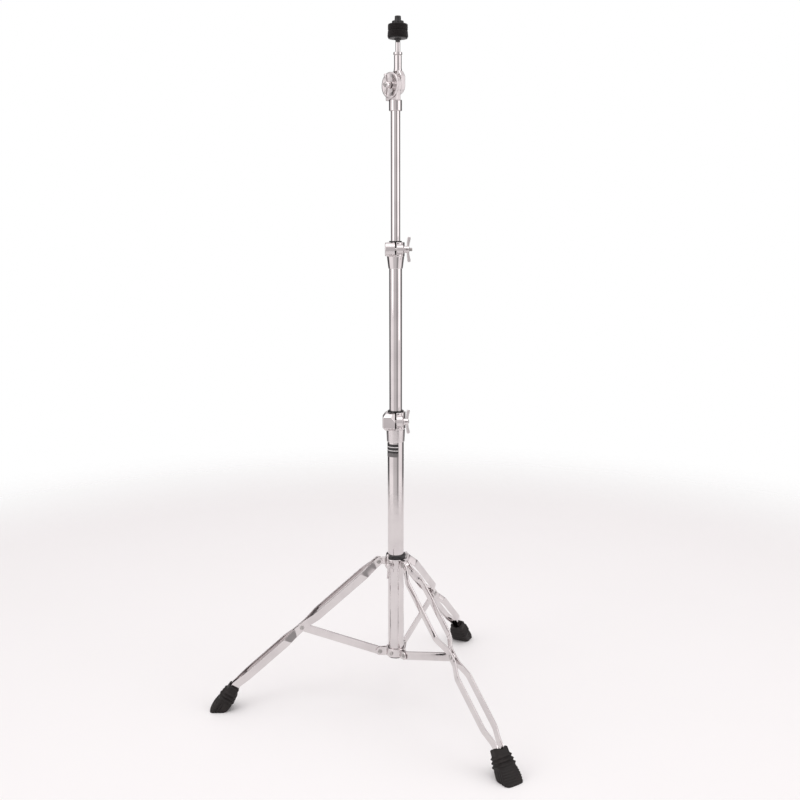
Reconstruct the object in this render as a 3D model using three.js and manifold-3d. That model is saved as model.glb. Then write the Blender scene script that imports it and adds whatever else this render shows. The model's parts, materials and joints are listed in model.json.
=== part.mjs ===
// A straight, double-braced cymbal stand: three telescoping tubes on a folding tripod,
// with a tilter and a felt cymbal seat on top. Millimetres, +Z up, soles on z = 0.
import * as THREE from "three";
import { mergeVertices } from "three/addons/utils/BufferGeometryUtils.js";
import Module from "manifold-3d";

const wasm = await Module();
wasm.setup();

// ---- Driving dimensions ----

const radians = Math.PI / 180;
const gap = 0.3; // between neighbouring pieces
const slideGap = 0.25; // round a tube that slides
const facets = 24; // round a tube or collar
const smallFacets = 8; // round a pin, bolt or hole
const rodFacets = 12; // round the seat rod and its holes
const soft = 0.8; // chamfer on turned and cast edges
const past = 1; // how far a cut runs beyond the faces that it opens

const bracePivotOut = 15.2; // both pivots are measured out from the base tube's surface
const legPivotOut = 17.1;
const bracePivotHeight = 103.7;
const legPivotHeight = 276.7;

const bushing = { wall: 1.1, below: 30, lipThickness: 1.7, lipWidth: 1.4 };
const tubeBelowBrace = 8.7; // from the brace pivots down to the foot of the base tube
const baseTube = { radius: 14.3, wall: 1.6, bottom: bracePivotHeight - tubeBelowBrace, top: 521 };
const middleTube = nestedTube(baseTube, { wall: 1.5, inside: 141, exposed: 301 });
const upperTube = nestedTube(middleTube, { wall: 1.4, inside: 122, exposed: 257 });

const endPlug = { depth: 14, lip: 1.5, wall: 2 };
const label = { belowClamp: 3, height: 23, thickness: 0.35, lift: 0.15, azimuth: 221, halfSpan: 66 };

const clampAzimuth = -94; // the side that the ears of both clamps point to
const slit = { width: 2.4, floor: 3 };
const clampBolt = {
  radius: 3, headRadius: 5, headHeight: 3.4, headDepth: 2.4, clearOfBore: 2.6,
};
// Ears end this far past the sleeve's side, and bosses this far short of it.
const baseClamp = {
  sleeveHeight: 24, sleeveLip: 0.9, sleeveTop: 2.8, gripWall: 4.6, gripHeight: 30,
  earPast: 5.6, earFront: 12.5, earChamfer: 5, earHalfHeight: 14.6, bossRadius: 10.5, bossShort: 4.8,
  recess: 6, boltPastNut: 0.5,
};
const upperClamp = {
  sleeveHeight: 21, sleeveLip: 0.9, sleeveTop: 4.2, gripWall: 4.2, gripHeight: 24,
  earPast: 2.4, earFront: 11, earChamfer: 3.6, earHalfHeight: 11.7, bossRadius: 8, bossShort: 2,
  recess: 8, boltPastNut: 4.5,
};
const wingNut = { hubRadius: 6, tipRadius: 4.6, height: 10, halfSpan: 21.5, thickness: 2.8, wingBase: 6 };
const tilterNut = {
  hubRadius: 5.6, tipRadius: 4.4, height: 9.5, halfSpan: 18, thickness: 2.8, wingBase: 4.5,
};
const collarScrew = { hubRadius: 5.4, tipRadius: 4.6, height: 9, halfSpan: 23, thickness: 3, wingBase: 4 };

const legCount = 3;
const firstLegAzimuth = 180;
const legSlope = 41.2; // below horizontal, as the stand stands
const bootSlope = 60;
const bendHeight = 47; // where a leg bends into its boot
const bendHalf = 6; // half the length of that bend
const legPivot = { radius: baseTube.radius + legPivotOut, height: legPivotHeight };
const bracePivot = { radius: baseTube.radius + bracePivotOut, height: bracePivotHeight };
const legToBrace = 185.9; // along the leg, from its pivot to the brace's rivet

const legCollar = {
  wall: 5.7, below: 10.7, above: 6.3, lugHalf: 3.5, lugRadius: 6.2,
  bossRadius: 6, bossOut: 9.5, bossBelowPivot: 2,
};
const collarRing = { wall: 3.1, height: 6.3, bevel: 1.2 };
const lowerCollar = {
  wall: 3.6, lugThickness: 2.5, lugRadius: 7.5, screwRadius: 3.4, shankRadius: 2.2, screwHeight: 1.8,
};

const strip = { width: 14, thickness: 2.4, bevel: 0.4, endRadius: 7, endWidth: 5 };
// Outer faces of the strips, from the middle of the leg, above and below its brace.
const upperOffset = 15.6;
const lowerOffset = 13.2;
const pinchHalfLength = 13;
const spreadLength = 24;
const spreadSteps = 3; // straight steps in each spread of the strips
const topFlat = 10;
const bootInsert = 24; // how far the strips reach into a boot
const bootOffset = 7.2; // outer faces of the strips where they enter it

const brace = { width: 15, thickness: 3.2, bevel: 0.5 };
const rivet = { radius: 2.4, hole: 2.4 + gap, headRadius: 4.2, headHeight: 1.6 };

const bootTop = 3; // along the boot's axis, from the bend to its neck
const bootPocket = { halfWidth: strip.width / 2 + 0.5, halfSide: bootOffset + gap, depth: bootInsert + past };
// Distance down the boot, then how far its toe, heel and sides lie outside the pocket's faces;
// the floor cuts off the last ones.
const bootProfile = [
  [0, 2.1, 2.1, 5.5], [1.6, 3.3, 3.3, 6.7], [11, 3.9, 3.9, 7.1], [34, 7.9, 8.1, 10.1],
  [42, 9.3, 6.7, 11.3], [49, 10.3, 1.5, 11.5], [60, 10.1, -6.5, 10.9], [68, 8.5, -4.5, 9.5],
];
const bootCorner = { radius: 6, points: 3 };
const bootRibs = [14, 20.5, 27]; // distance down the boot to the middle of each rib
const bootRib = { height: 1.7, halfFoot: 2.4, halfCrest: 1.1 };

const hingeAboveTube = 25;
const hingeHeight = upperTube.top + hingeAboveTube; // of the tilter
const tilterAzimuth = 216.7;
const sleeve = {
  radius: upperTube.radius + gap + 2.6, bottom: hingeHeight - 41, top: hingeHeight - 23,
};
const tilterJoint = { radius: 17, halfWidth: 14, thickness: 9.7, shoulder: 16 };
const tilterPlate = { radius: 21, thickness: 2.6, dish: 0.8, rim: 0.6 };
const tilterBoltHead = 2.6;
const tilterStickOut = 2.5;
const post = { radius: 6.35, top: hingeHeight + 49, setBack: 5.3, blindHole: 16 };
const flare = { radius: 8.4, foot: 4.8, waist: 0.9, bottom: hingeHeight + 18, height: 11 };
const postRing = { radius: 7.3, height: 4.6 };
const cupWasher = {
  bottom: post.top + 24, radius: 16, hubRadius: 5.4, hubHeight: 2.4, thickness: 1.4, bevel: 0.4,
};
const felt = { radius: 16.5, height: 10.6, edge: 3, rim: 0.7 };
const topNut = { flangeRadius: 9.8, flangeHeight: 4.4, radius: 5, height: 8, aboveRod: 3.3 };
const seatRodRadius = 4;

// A tube that slides inside a bushing in the tube below it.
function nestedTube(lower, { wall, inside, exposed }) {
  const radius = lower.radius - lower.wall - 2 * slideGap - bushing.wall;
  return { radius, wall, bottom: lower.top - inside, top: lower.top + exposed };
}

// ---- Materials ----

const finishes = {
  chrome: { color: 0xd8d3d4, metalness: 1, roughness: 0.12 },
  satinSteel: { color: 0xbdb8b6, metalness: 1, roughness: 0.3 },
  rubber: { color: 0x241f1f, metalness: 0, roughness: 0.75 },
  felt: { color: 0x14100f, metalness: 0, roughness: 0.95 },
  nylon: { color: 0x1b1b1c, metalness: 0, roughness: 0.5 },
  labelFilm: { color: 0x1d1b1c, metalness: 0, roughness: 0.35 },
};

// ---- Solids from three.js geometry ----

function facingOut(geometry) {
  const p = geometry.getAttribute("position");
  const index = geometry.index.array;
  const [a, b, c] = [new THREE.Vector3(), new THREE.Vector3(), new THREE.Vector3()];
  let sixVolumes = 0;
  for (let i = 0; i < index.length; i += 3) {
    a.fromBufferAttribute(p, index[i]);
    b.fromBufferAttribute(p, index[i + 1]);
    c.fromBufferAttribute(p, index[i + 2]);
    sixVolumes += a.dot(b.cross(c));
  }
  if (sixVolumes < 0) {
    for (let i = 0; i < index.length; i += 3) {
      [index[i + 1], index[i + 2]] = [index[i + 2], index[i + 1]];
    }
  }
  return geometry;
}

function solid(geometry, matrix = new THREE.Matrix4()) {
  const bare = geometry.clone();
  bare.deleteAttribute("normal");
  bare.deleteAttribute("uv");
  const merged = facingOut(mergeVertices(bare.applyMatrix4(matrix), 1e-3));
  return new wasm.Manifold(new wasm.Mesh({
    numProp: 3,
    vertProperties: new Float32Array(merged.getAttribute("position").array),
    triVerts: new Uint32Array(merged.index.array),
  }));
}

function join(first, ...others) {
  return others.reduce((sum, next) => sum.add(next), first);
}

function cut(first, ...others) {
  return others.reduce((sum, next) => sum.subtract(next), first);
}

// A placement whose local x, y and z point along three directions from an origin.
function frame(x, y, z, origin) {
  return new THREE.Matrix4().makeBasis(x, y, z).setPosition(origin);
}

const xAxis = new THREE.Vector3(1, 0, 0);
const yAxis = new THREE.Vector3(0, 1, 0);
const zAxis = new THREE.Vector3(0, 0, 1);
const upFrame = frame(xAxis, yAxis, zAxis, new THREE.Vector3());

// Local z along +X, with local y up.
function alongX(x, y, z) {
  return frame(yAxis, zAxis, xAxis, new THREE.Vector3(x, y, z));
}

// Local z along +Y, with local x along +X.
function alongY(x, y, z) {
  return frame(zAxis, xAxis, yAxis, new THREE.Vector3(x, y, z));
}

// A turned piece: [radius, height] points round local z, starting and ending on the axis.
function turned(profile, segments = facets, matrix = upFrame) {
  const points = profile.map(([r, z]) => new THREE.Vector2(r, z));
  const lathe = new THREE.LatheGeometry(points, segments).rotateX(Math.PI / 2);
  return solid(lathe, matrix);
}

function rod(radius, bottom, top, segments = smallFacets, matrix = upFrame) {
  return turned([[0, bottom], [radius, bottom], [radius, top], [0, top]], segments, matrix);
}

// A ring of any section, its profile closing on itself.
function ring(profile, segments = facets) {
  return turned([...profile, profile[0]], segments);
}

function pipe(outer, inner, bottom, top, segments = facets) {
  return ring([[inner, bottom], [outer, bottom], [outer, top], [inner, top]], segments);
}

function block(x0, x1, y0, y1, z0, z1) {
  const box = new THREE.BoxGeometry(x1 - x0, y1 - y0, z1 - z0);
  box.translate((x0 + x1) / 2, (y0 + y1) / 2, (z0 + z1) / 2);
  return solid(box);
}

function plate(shape, depth, matrix, chamfer = 0, curveSegments = 5) {
  const settings = {
    depth: depth - 2 * chamfer, curveSegments, steps: 1,
    bevelEnabled: chamfer > 0, bevelThickness: chamfer, bevelSize: chamfer,
    bevelOffset: -chamfer, bevelSegments: 1,
  };
  const geometry = new THREE.ExtrudeGeometry(shape, settings).translate(0, 0, chamfer);
  return solid(geometry, matrix);
}

// Skins a closed solid over stations: flat anticlockwise outlines with the same number of points.
function loft(stations) {
  const points = [];
  for (const { outline, matrix } of stations) {
    for (const [x, y] of outline) {
      points.push(...new THREE.Vector3(x, y, 0).applyMatrix4(matrix).toArray());
    }
  }
  const count = stations[0].outline.length;
  const last = (stations.length - 1) * count;
  const index = [];
  for (let row = 0; row < last; row += count) {
    for (let i = 0; i < count; i += 1) {
      const next = (i + 1) % count;
      index.push(row + i, row + next, row + count + next);
      index.push(row + i, row + count + next, row + count + i);
    }
  }
  const cap = (station) => THREE.ShapeUtils.triangulateShape(
    station.outline.map(([x, y]) => new THREE.Vector2(x, y)), [],
  );
  for (const [a, b, c] of cap(stations[0])) index.push(a, c, b);
  for (const [a, b, c] of cap(stations.at(-1))) index.push(last + a, last + b, last + c);
  const geometry = new THREE.BufferGeometry();
  geometry.setAttribute("position", new THREE.Float32BufferAttribute(points, 3));
  geometry.setIndex(index);
  return solid(geometry);
}

function addPart(group, name, made, finish) {
  const { vertProperties, triVerts } = made.getMesh();
  const geometry = new THREE.BufferGeometry();
  geometry.setAttribute("position", new THREE.BufferAttribute(new Float32Array(vertProperties), 3));
  geometry.setIndex(new THREE.BufferAttribute(triVerts, 1));
  geometry.computeVertexNormals();
  const mesh = new THREE.Mesh(geometry, new THREE.MeshStandardMaterial(finishes[finish]));
  mesh.name = name;
  group.add(mesh);
}

function turnedGroup(parent, azimuth, height = 0) {
  const group = new THREE.Group();
  group.position.z = height;
  group.rotation.z = azimuth * radians;
  parent.add(group);
  return group;
}

// ---- Fasteners ----

// A wing nut standing on z = 0 round local z, its wings along local y.
function wingNutSolid(size, boreRadius) {
  const { hubRadius, tipRadius, height, halfSpan, thickness, wingBase } = size;
  const hub = turned([
    [0, 0], [hubRadius, 0], [hubRadius, height * 0.3], [tipRadius, height - soft],
    [tipRadius - soft, height], [0, height],
  ], smallFacets);
  const rise = height - wingBase;
  const round = rise * 0.62; // of the wing's end
  const top = height + rise * 0.4;
  const paddle = new THREE.Shape();
  paddle.moveTo(0, wingBase);
  paddle.lineTo(halfSpan / 2, wingBase);
  paddle.lineTo(halfSpan - round, top - 2 * round);
  paddle.absarc(halfSpan - round, top - round, round, -Math.PI / 2, Math.PI / 2, false);
  paddle.lineTo(0, height - 2 * soft);
  paddle.closePath();
  const wings = [1, -1].map((side) => {
    const out = new THREE.Vector3(0, side, 0);
    const across = new THREE.Vector3(side, 0, 0);
    const origin = across.clone().multiplyScalar(-thickness / 2);
    return plate(paddle, thickness, frame(out, zAxis, across, origin), thickness / 5);
  });
  const nut = join(hub, ...wings);
  return boreRadius > 0 ? cut(nut, rod(boreRadius, -past, height + past)) : nut;
}

// A bolt along local z with its round head below z = 0.
function boltSolid(radius, headRadius, headHeight, length) {
  return turned([
    [0, -headHeight], [headRadius * 0.6, -headHeight], [headRadius, -headHeight * 0.45],
    [headRadius, 0], [radius, 0], [radius, length - soft], [radius - soft, length], [0, length],
  ], smallFacets);
}

// The domed head of a rivet, from its seat up.
function rivetDome(seat) {
  const { headRadius, headHeight } = rivet;
  const shoulder = seat + headHeight * 0.7;
  const top = seat + headHeight;
  return [[headRadius, seat], [headRadius * 0.86, shoulder], [headRadius * 0.4, top], [0, top]];
}

// A rivet through local z from -half to half, with a head at each end.
function rivetSolid(half) {
  const dome = rivetDome(half);
  const foot = dome.map(([r, z]) => [r, -z]).reverse();
  return turned([...foot, [rivet.radius, -half], [rivet.radius, half], ...dome], smallFacets);
}

// ---- Tubes ----

function tubeSolid({ radius, wall, bottom, top }) {
  return pipe(radius, radius - wall, bottom, top);
}

function endPlugSolid() {
  const inside = baseTube.radius - baseTube.wall - slideGap;
  const { depth, lip, wall } = endPlug;
  const seat = baseTube.bottom - gap;
  const top = baseTube.bottom + depth;
  const floor = baseTube.bottom + wall;
  return turned([
    [0, seat - lip], [baseTube.radius - soft, seat - lip], [baseTube.radius, seat - lip / 2],
    [baseTube.radius, seat], [inside, seat], [inside, top],
    [inside - wall, top], [inside - wall, floor], [0, floor],
  ]);
}

function labelSolid() {
  const inner = baseTube.radius + label.lift;
  const outer = inner + label.thickness;
  const [from, to] = [-label.halfSpan * radians, label.halfSpan * radians];
  const band = new THREE.Shape();
  band.absarc(0, 0, outer, from, to, false);
  band.absarc(0, 0, inner, to, from, true);
  const top = baseTube.top - baseClamp.sleeveHeight - label.belowClamp;
  const floor = new THREE.Vector3(0, 0, top - label.height);
  return plate(band, label.height, frame(xAxis, yAxis, zAxis, floor), 0, 10);
}

// ---- Height clamps ----

// What one clamp works out from the tube it sits on.
function clampFit(size, lower) {
  const bore = lower.radius - lower.wall;
  const socket = lower.radius + gap;
  const outer = Math.max(socket + size.sleeveTop, bore + size.gripWall);
  const boltY = -(bore + clampBolt.radius + clampBolt.clearOfBore);
  return {
    bore,
    socket,
    outer,
    earReach: outer + size.earPast,
    bossReach: outer - size.bossShort,
    boltY,
    boltZ: size.gripHeight / 2,
    frontY: boltY - size.earFront,
  };
}

// The round shell of a clamp, from the foot of its sleeve to the top of its grip.
function clampShell(size, fit) {
  const { outer } = fit;
  const neck = outer - soft;
  return turned([
    [0, -size.sleeveHeight], [fit.socket + size.sleeveLip, -size.sleeveHeight], [neck, -2 * soft], [neck, 0],
    [outer, soft], [outer, size.gripHeight - soft], [neck, size.gripHeight], [0, size.gripHeight],
  ]);
}

// The block on one side of the slit, with the recess that takes the bolt's head.
function clampEar(size, fit) {
  const half = size.earHalfHeight;
  const corner = size.earChamfer;
  const face = new THREE.Shape([
    [fit.frontY + corner, -half], [0, -half], [0, half], [fit.frontY + corner, half],
    [fit.frontY, half - corner], [fit.frontY, corner - half],
  ].map(([y, z]) => new THREE.Vector2(y, z + fit.boltZ)));
  return plate(face, fit.earReach, alongX(-fit.earReach, 0, 0), corner * 0.7);
}

// The round boss on the other side, where the wing nut seats.
function clampBoss(size, fit) {
  const { bossRadius } = size;
  const edge = 2 * soft;
  const boss = turned([
    [0, 0], [bossRadius, 0], [bossRadius, fit.bossReach - edge],
    [bossRadius - edge, fit.bossReach], [0, fit.bossReach],
  ], rodFacets, alongX(0, fit.boltY, fit.boltZ));
  const low = fit.boltZ - bossRadius;
  const web = block(0, fit.bossReach - 2 * edge, fit.boltY, 0, low, low + 2 * bossRadius);
  return join(boss, web);
}

// The cast clamp, its ears towards -Y; z = 0 is the top of the lower tube.
function clampBodySolid(size, fit) {
  const { sleeveHeight, gripHeight } = size;
  const headHole = clampBolt.headRadius + gap;
  const headFloor = clampBolt.headDepth + clampBolt.headHeight + gap;
  const recess = turned([
    [0, -past], [size.recess, -past], [headHole, clampBolt.headDepth], [headHole, headFloor], [0, headFloor],
  ], rodFacets, alongX(-fit.earReach, fit.boltY, fit.boltZ));
  const boltLine = alongX(0, fit.boltY, fit.boltZ);
  return cut(
    join(clampShell(size, fit), clampEar(size, fit), clampBoss(size, fit)),
    recess,
    rod(fit.bore, -gap, gripHeight + past, facets),
    rod(fit.socket, -sleeveHeight - past, gap, facets),
    block(-slit.width / 2, slit.width / 2, fit.frontY - past, 0, slit.floor, gripHeight + past),
    rod(clampBolt.radius + gap, -fit.earReach - past, fit.bossReach + past, smallFacets, boltLine),
  );
}

function bushingSolid(size, fit) {
  const outer = fit.bore - slideGap;
  const inner = outer - bushing.wall;
  const lipBottom = size.gripHeight + gap;
  const lipTop = lipBottom + bushing.lipThickness;
  const lip = fit.bore + bushing.lipWidth;
  return ring([
    [inner, -bushing.below], [outer, -bushing.below], [outer, lipBottom], [lip, lipBottom],
    [lip, lipTop - soft], [lip - soft, lipTop], [inner, lipTop],
  ]);
}

function addClamp(mast, name, size, lower) {
  const fit = clampFit(size, lower);
  const group = turnedGroup(mast, clampAzimuth + 90, lower.top);
  addPart(group, `${name}_clamp`, clampBodySolid(size, fit), "chrome");
  addPart(group, `${name}_clamp_bushing`, bushingSolid(size, fit), "nylon");
  const { radius, headRadius, headHeight, headDepth } = clampBolt;
  const headSeat = -fit.earReach + headDepth + headHeight;
  const nutSeat = fit.bossReach + gap;
  const length = nutSeat + wingNut.height + size.boltPastNut - headSeat;
  const bolt = boltSolid(radius, headRadius, headHeight, length);
  const boltPlace = alongX(headSeat, fit.boltY, fit.boltZ);
  addPart(group, `${name}_clamp_bolt`, bolt.transform(boltPlace.elements), "satinSteel");
  const nut = wingNutSolid(wingNut, radius + gap);
  const nutPlace = alongX(nutSeat, fit.boltY, fit.boltZ);
  addPart(group, `${name}_clamp_wing_nut`, nut.transform(nutPlace.elements), "chrome");
}

// ---- Leg collar, lower collar ----

function lugShape(radius, reach, root) {
  const shape = new THREE.Shape();
  shape.moveTo(root, -radius);
  shape.lineTo(reach, -radius);
  shape.absarc(reach, 0, radius, -Math.PI / 2, Math.PI / 2, false);
  shape.lineTo(root, radius);
  shape.closePath();
  return shape;
}

// A lug in the vertical plane through the mast, from `from` to `to` across it.
function lug(shape, height, from, to) {
  const placed = frame(xAxis, zAxis, new THREE.Vector3(0, -1, 0), new THREE.Vector3(0, to, height));
  return plate(shape, to - from, placed);
}

function legAzimuth(leg) {
  return firstLegAzimuth + (leg * 360) / legCount;
}

const screwAzimuth = firstLegAzimuth + 180 / legCount;

function spun(made, azimuth) {
  return made.rotate([0, 0, azimuth]);
}

function collarShell(outer, bottom, top) {
  return turned([
    [0, bottom], [outer - soft, bottom], [outer, bottom + soft],
    [outer, top - soft], [outer - soft, top], [0, top],
  ]);
}

// One copy of a piece for each leg, turned round the mast.
function roundMast(made) {
  return Array.from({ length: legCount }, (_, leg) => spun(made, legAzimuth(leg)));
}

function legCollarSolid() {
  const bore = baseTube.radius + slideGap;
  const outer = bore + legCollar.wall;
  const bottom = legPivot.height - legCollar.below;
  const top = legPivot.height + legCollar.above;
  const shell = collarShell(outer, bottom, top);
  const { lugHalf, lugRadius, bossRadius, bossOut } = legCollar;
  const shape = lugShape(lugRadius, legPivot.radius, bore + soft);
  const pinLine = alongY(legPivot.radius, 0, legPivot.height);
  const pinHole = rod(rivet.hole, -lugHalf - past, lugHalf + past, smallFacets, pinLine);
  const one = cut(lug(shape, legPivot.height, -lugHalf, lugHalf), pinHole);
  const screwLine = alongX(0, 0, legPivot.height - legCollar.bossBelowPivot);
  const boss = rod(bossRadius, 0, bore + bossOut, facets, screwLine);
  const hole = rod(clampBolt.radius + gap, 0, bore + bossOut + past, smallFacets, screwLine);
  return cut(
    join(shell, spun(boss, screwAzimuth), ...roundMast(one)),
    spun(hole, screwAzimuth),
    rod(bore, bottom - past, top + past, facets),
  );
}

function collarRingSolid() {
  const inner = baseTube.radius + slideGap;
  const outer = inner + collarRing.wall;
  const { height, bevel } = collarRing;
  return ring([[inner, 0], [outer, 0], [outer, height - bevel], [outer - bevel, height], [inner, height]]);
}

function collarScrewSolid() {
  const seat = baseTube.radius + slideGap + legCollar.bossOut + gap;
  const tip = baseTube.radius + gap;
  const shank = rod(clampBolt.radius, tip, seat + past, smallFacets, alongX(0, 0, 0));
  const head = wingNutSolid(collarScrew, 0).transform(alongX(seat, 0, 0).elements);
  return join(shank, head);
}

function lowerCollarSolid() {
  const bore = baseTube.radius + gap;
  const outer = bore + lowerCollar.wall;
  const inside = brace.thickness / 2 + gap;
  const outside = inside + lowerCollar.lugThickness;
  const bottom = bracePivot.height - lowerCollar.lugRadius;
  const top = bracePivot.height + lowerCollar.lugRadius;
  const shell = collarShell(outer, bottom, top);
  const shape = lugShape(lowerCollar.lugRadius, bracePivot.radius, bore + soft);
  const pinLine = alongY(bracePivot.radius, 0, bracePivot.height);
  const pair = cut(
    join(lug(shape, bracePivot.height, inside, outside), lug(shape, bracePivot.height, -outside, -inside)),
    rod(rivet.hole, -outside - past, outside + past, smallFacets, pinLine),
  );
  const screwLine = alongX(0, 0, bracePivot.height);
  const screwHole = rod(lowerCollar.shankRadius + gap, 0, outer + past, smallFacets, screwLine);
  return cut(
    join(shell, ...roundMast(pair)),
    spun(screwHole, screwAzimuth),
    rod(bore, bottom - past, top + past, facets),
  );
}

function lowerCollarScrewSolid() {
  const tip = baseTube.radius + gap;
  const seat = tip + lowerCollar.wall + gap;
  const { screwRadius, shankRadius, screwHeight } = lowerCollar;
  const top = seat + screwHeight;
  const made = turned([
    [0, tip], [shankRadius, tip], [shankRadius, seat], [screwRadius, seat],
    [screwRadius, top - soft], [screwRadius - soft, top], [0, top],
  ], smallFacets);
  return made.transform(alongX(0, 0, bracePivot.height).elements);
}

// ---- Legs ----

const footRadius = legPivot.radius + (legPivot.height - bendHeight) / Math.tan(legSlope * radians);

// A leg's own frame: origin at its pivot, x down the leg, y across it.
function legMatrix() {
  const turn = new THREE.Matrix4().makeRotationY(legSlope * radians);
  return turn.setPosition(legPivot.radius, 0, legPivot.height);
}

const bendAt = (legPivot.height - bendHeight) / Math.sin(legSlope * radians);
const bend = (bootSlope - legSlope) * radians;

// The place and direction on a leg's centre line, `along` millimetres from its pivot.
function legStation(along) {
  const share = THREE.MathUtils.clamp((along - bendAt + bendHalf) / (2 * bendHalf), 0, 1);
  const straight = Math.min(along, bendAt);
  const beyond = Math.max(along - bendAt, 0);
  const point = new THREE.Vector3(straight + beyond * Math.cos(bend), 0, -beyond * Math.sin(bend));
  return { point, angle: bend * share };
}

function smooth(from, to, share) {
  return THREE.MathUtils.lerp(from, to, THREE.MathUtils.smoothstep(share, 0, 1));
}

// The strip's outer face changes its distance from the leg's middle at these places along the leg.
function stripPlan() {
  const atLug = legCollar.lugHalf + gap + strip.thickness;
  const atBrace = brace.thickness / 2 + gap + strip.thickness;
  return [
    { along: 0, offset: atLug },
    { along: topFlat, offset: atLug },
    { along: topFlat + spreadLength, offset: upperOffset },
    { along: legToBrace - pinchHalfLength - spreadLength, offset: upperOffset },
    { along: legToBrace - pinchHalfLength, offset: atBrace },
    { along: legToBrace + pinchHalfLength, offset: atBrace },
    { along: legToBrace + pinchHalfLength + spreadLength, offset: lowerOffset },
    { along: bendAt - spreadLength - bendHalf, offset: lowerOffset },
    { along: bendAt - bendHalf, offset: bootOffset },
    { along: bendAt + bootInsert, offset: bootOffset },
  ];
}

function stripOutline(width, offset) {
  const { thickness, bevel } = strip;
  const [w, inner] = [width / 2, offset - thickness];
  return [
    [-w, offset - bevel], [-w, inner + bevel], [-w + bevel, inner], [w - bevel, inner],
    [w, inner + bevel], [w, offset - bevel], [w - bevel, offset], [-w + bevel, offset],
  ];
}

// Local x is across the strip, local y across the leg.
function stripStation(along, width, offset) {
  const { point, angle } = legStation(along);
  const across = new THREE.Vector3(Math.sin(angle), 0, Math.cos(angle));
  const down = new THREE.Vector3().crossVectors(across, yAxis);
  return { outline: stripOutline(width, offset), matrix: frame(across, yAxis, down, point) };
}

// The round end of a strip, in three steps up to its pivot.
function stripEndStations({ offset }) {
  return [-75, -50, -25].map((turn) => {
    const width = Math.max(2 * strip.endRadius * Math.cos(turn * radians), strip.endWidth);
    return stripStation(strip.endRadius * Math.sin(turn * radians), width, offset);
  });
}

// Steps from one place in the plan to the next, the last of them at the next place.
function stripSpread(from, to) {
  const steps = from.offset === to.offset ? 1 : spreadSteps;
  return Array.from({ length: steps }, (_, i) => {
    const share = (i + 1) / steps;
    const along = THREE.MathUtils.lerp(from.along, to.along, share);
    return stripStation(along, strip.width, smooth(from.offset, to.offset, share));
  });
}

function stripBendStations() {
  const steps = [-bendHalf / 3, bendHalf / 3, bendHalf];
  return steps.map((step) => stripStation(bendAt + step, strip.width, bootOffset));
}

function stripSolid(side) {
  const plan = stripPlan();
  const [first] = plan;
  const inBoot = plan.pop();
  const stations = [
    ...stripEndStations(first),
    stripStation(first.along, strip.width, first.offset),
    ...plan.slice(1).flatMap((here, i) => stripSpread(plan[i], here)),
    ...stripBendStations(),
    stripStation(inBoot.along, strip.width, inBoot.offset),
  ];
  const through = upperOffset + past;
  const holes = [0, legToBrace].map((along) => rod(rivet.hole, 0, through, smallFacets, alongY(along, 0, 0)));
  const one = cut(loft(stations), ...holes);
  return side > 0 ? one : one.mirror([0, 1, 0]);
}

function braceSpan() {
  const rivetAt = new THREE.Vector3(legToBrace, 0, 0).applyMatrix4(legMatrix());
  const inner = new THREE.Vector3(bracePivot.radius, 0, bracePivot.height);
  const reach = rivetAt.clone().sub(inner);
  return { length: reach.length(), rise: Math.atan2(reach.z, reach.x), inner };
}

// A brace's own frame: origin at its inner pivot, x along it.
function braceMatrix() {
  const { rise, inner } = braceSpan();
  return new THREE.Matrix4().makeRotationY(-rise).setPosition(inner);
}

function braceSolid() {
  const { length } = braceSpan();
  const radius = brace.width / 2;
  const outline = new THREE.Shape();
  outline.absarc(0, 0, radius, Math.PI / 2, (3 * Math.PI) / 2, false);
  outline.absarc(length, 0, radius, -Math.PI / 2, Math.PI / 2, false);
  outline.closePath();
  const half = brace.thickness / 2;
  const placed = frame(xAxis, zAxis, new THREE.Vector3(0, -1, 0), new THREE.Vector3(0, half, 0));
  const bar = plate(outline, brace.thickness, placed, brace.bevel);
  const holes = [0, length].map(
    (along) => rod(rivet.hole, -half - past, half + past, smallFacets, alongY(along, 0, 0)),
  );
  return cut(bar, ...holes);
}

// The rivet through one strip only, so that the brace's plane stays clear between the two.
function pinchRivetSolid(side) {
  const inside = brace.thickness / 2 + gap;
  const face = inside + strip.thickness + gap;
  const shank = [[0, inside], [rivet.radius, inside], [rivet.radius, face]];
  const made = turned([...shank, ...rivetDome(face)], smallFacets, alongY(legToBrace, 0, 0));
  return side > 0 ? made : made.mirror([0, 1, 0]);
}

// ---- Boots ----

function bootOutline(toe, heel, halfWidth) {
  const { points } = bootCorner;
  const round = Math.min(bootCorner.radius, (toe + heel) / 2.1);
  const corners = [
    [toe, halfWidth, 0], [-heel, halfWidth, 90], [-heel, -halfWidth, 180], [toe, -halfWidth, 270],
  ];
  return corners.flatMap(([x, y, start]) => Array.from({ length: points }, (_, i) => {
    const angle = (start + (i * 90) / (points - 1)) * radians;
    const [cx, cy] = [x - Math.sign(x || 1) * round, y - Math.sign(y) * round];
    return [cx + round * Math.cos(angle), cy + round * Math.sin(angle)];
  }));
}

// The profile at any distance down the boot, between its rows.
function bootRow(depth, rib = 0) {
  const next = bootProfile.findIndex(([at]) => at > depth);
  const [from, to] = [bootProfile[next - 1], bootProfile[next]];
  const share = (depth - from[0]) / (to[0] - from[0]);
  const between = (column) => THREE.MathUtils.lerp(from[column], to[column], share) + rib;
  return [depth, between(1), between(2), between(3)];
}

function bootRows() {
  const { height, halfFoot, halfCrest } = bootRib;
  const steps = [[-halfFoot, 0], [-halfCrest, height], [halfCrest, height], [halfFoot, 0]];
  const ribs = bootRibs.flatMap((middle) => steps.map(([step, rib]) => bootRow(middle + step, rib)));
  return [...bootProfile, ...ribs].sort((a, b) => a[0] - b[0]);
}

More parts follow.
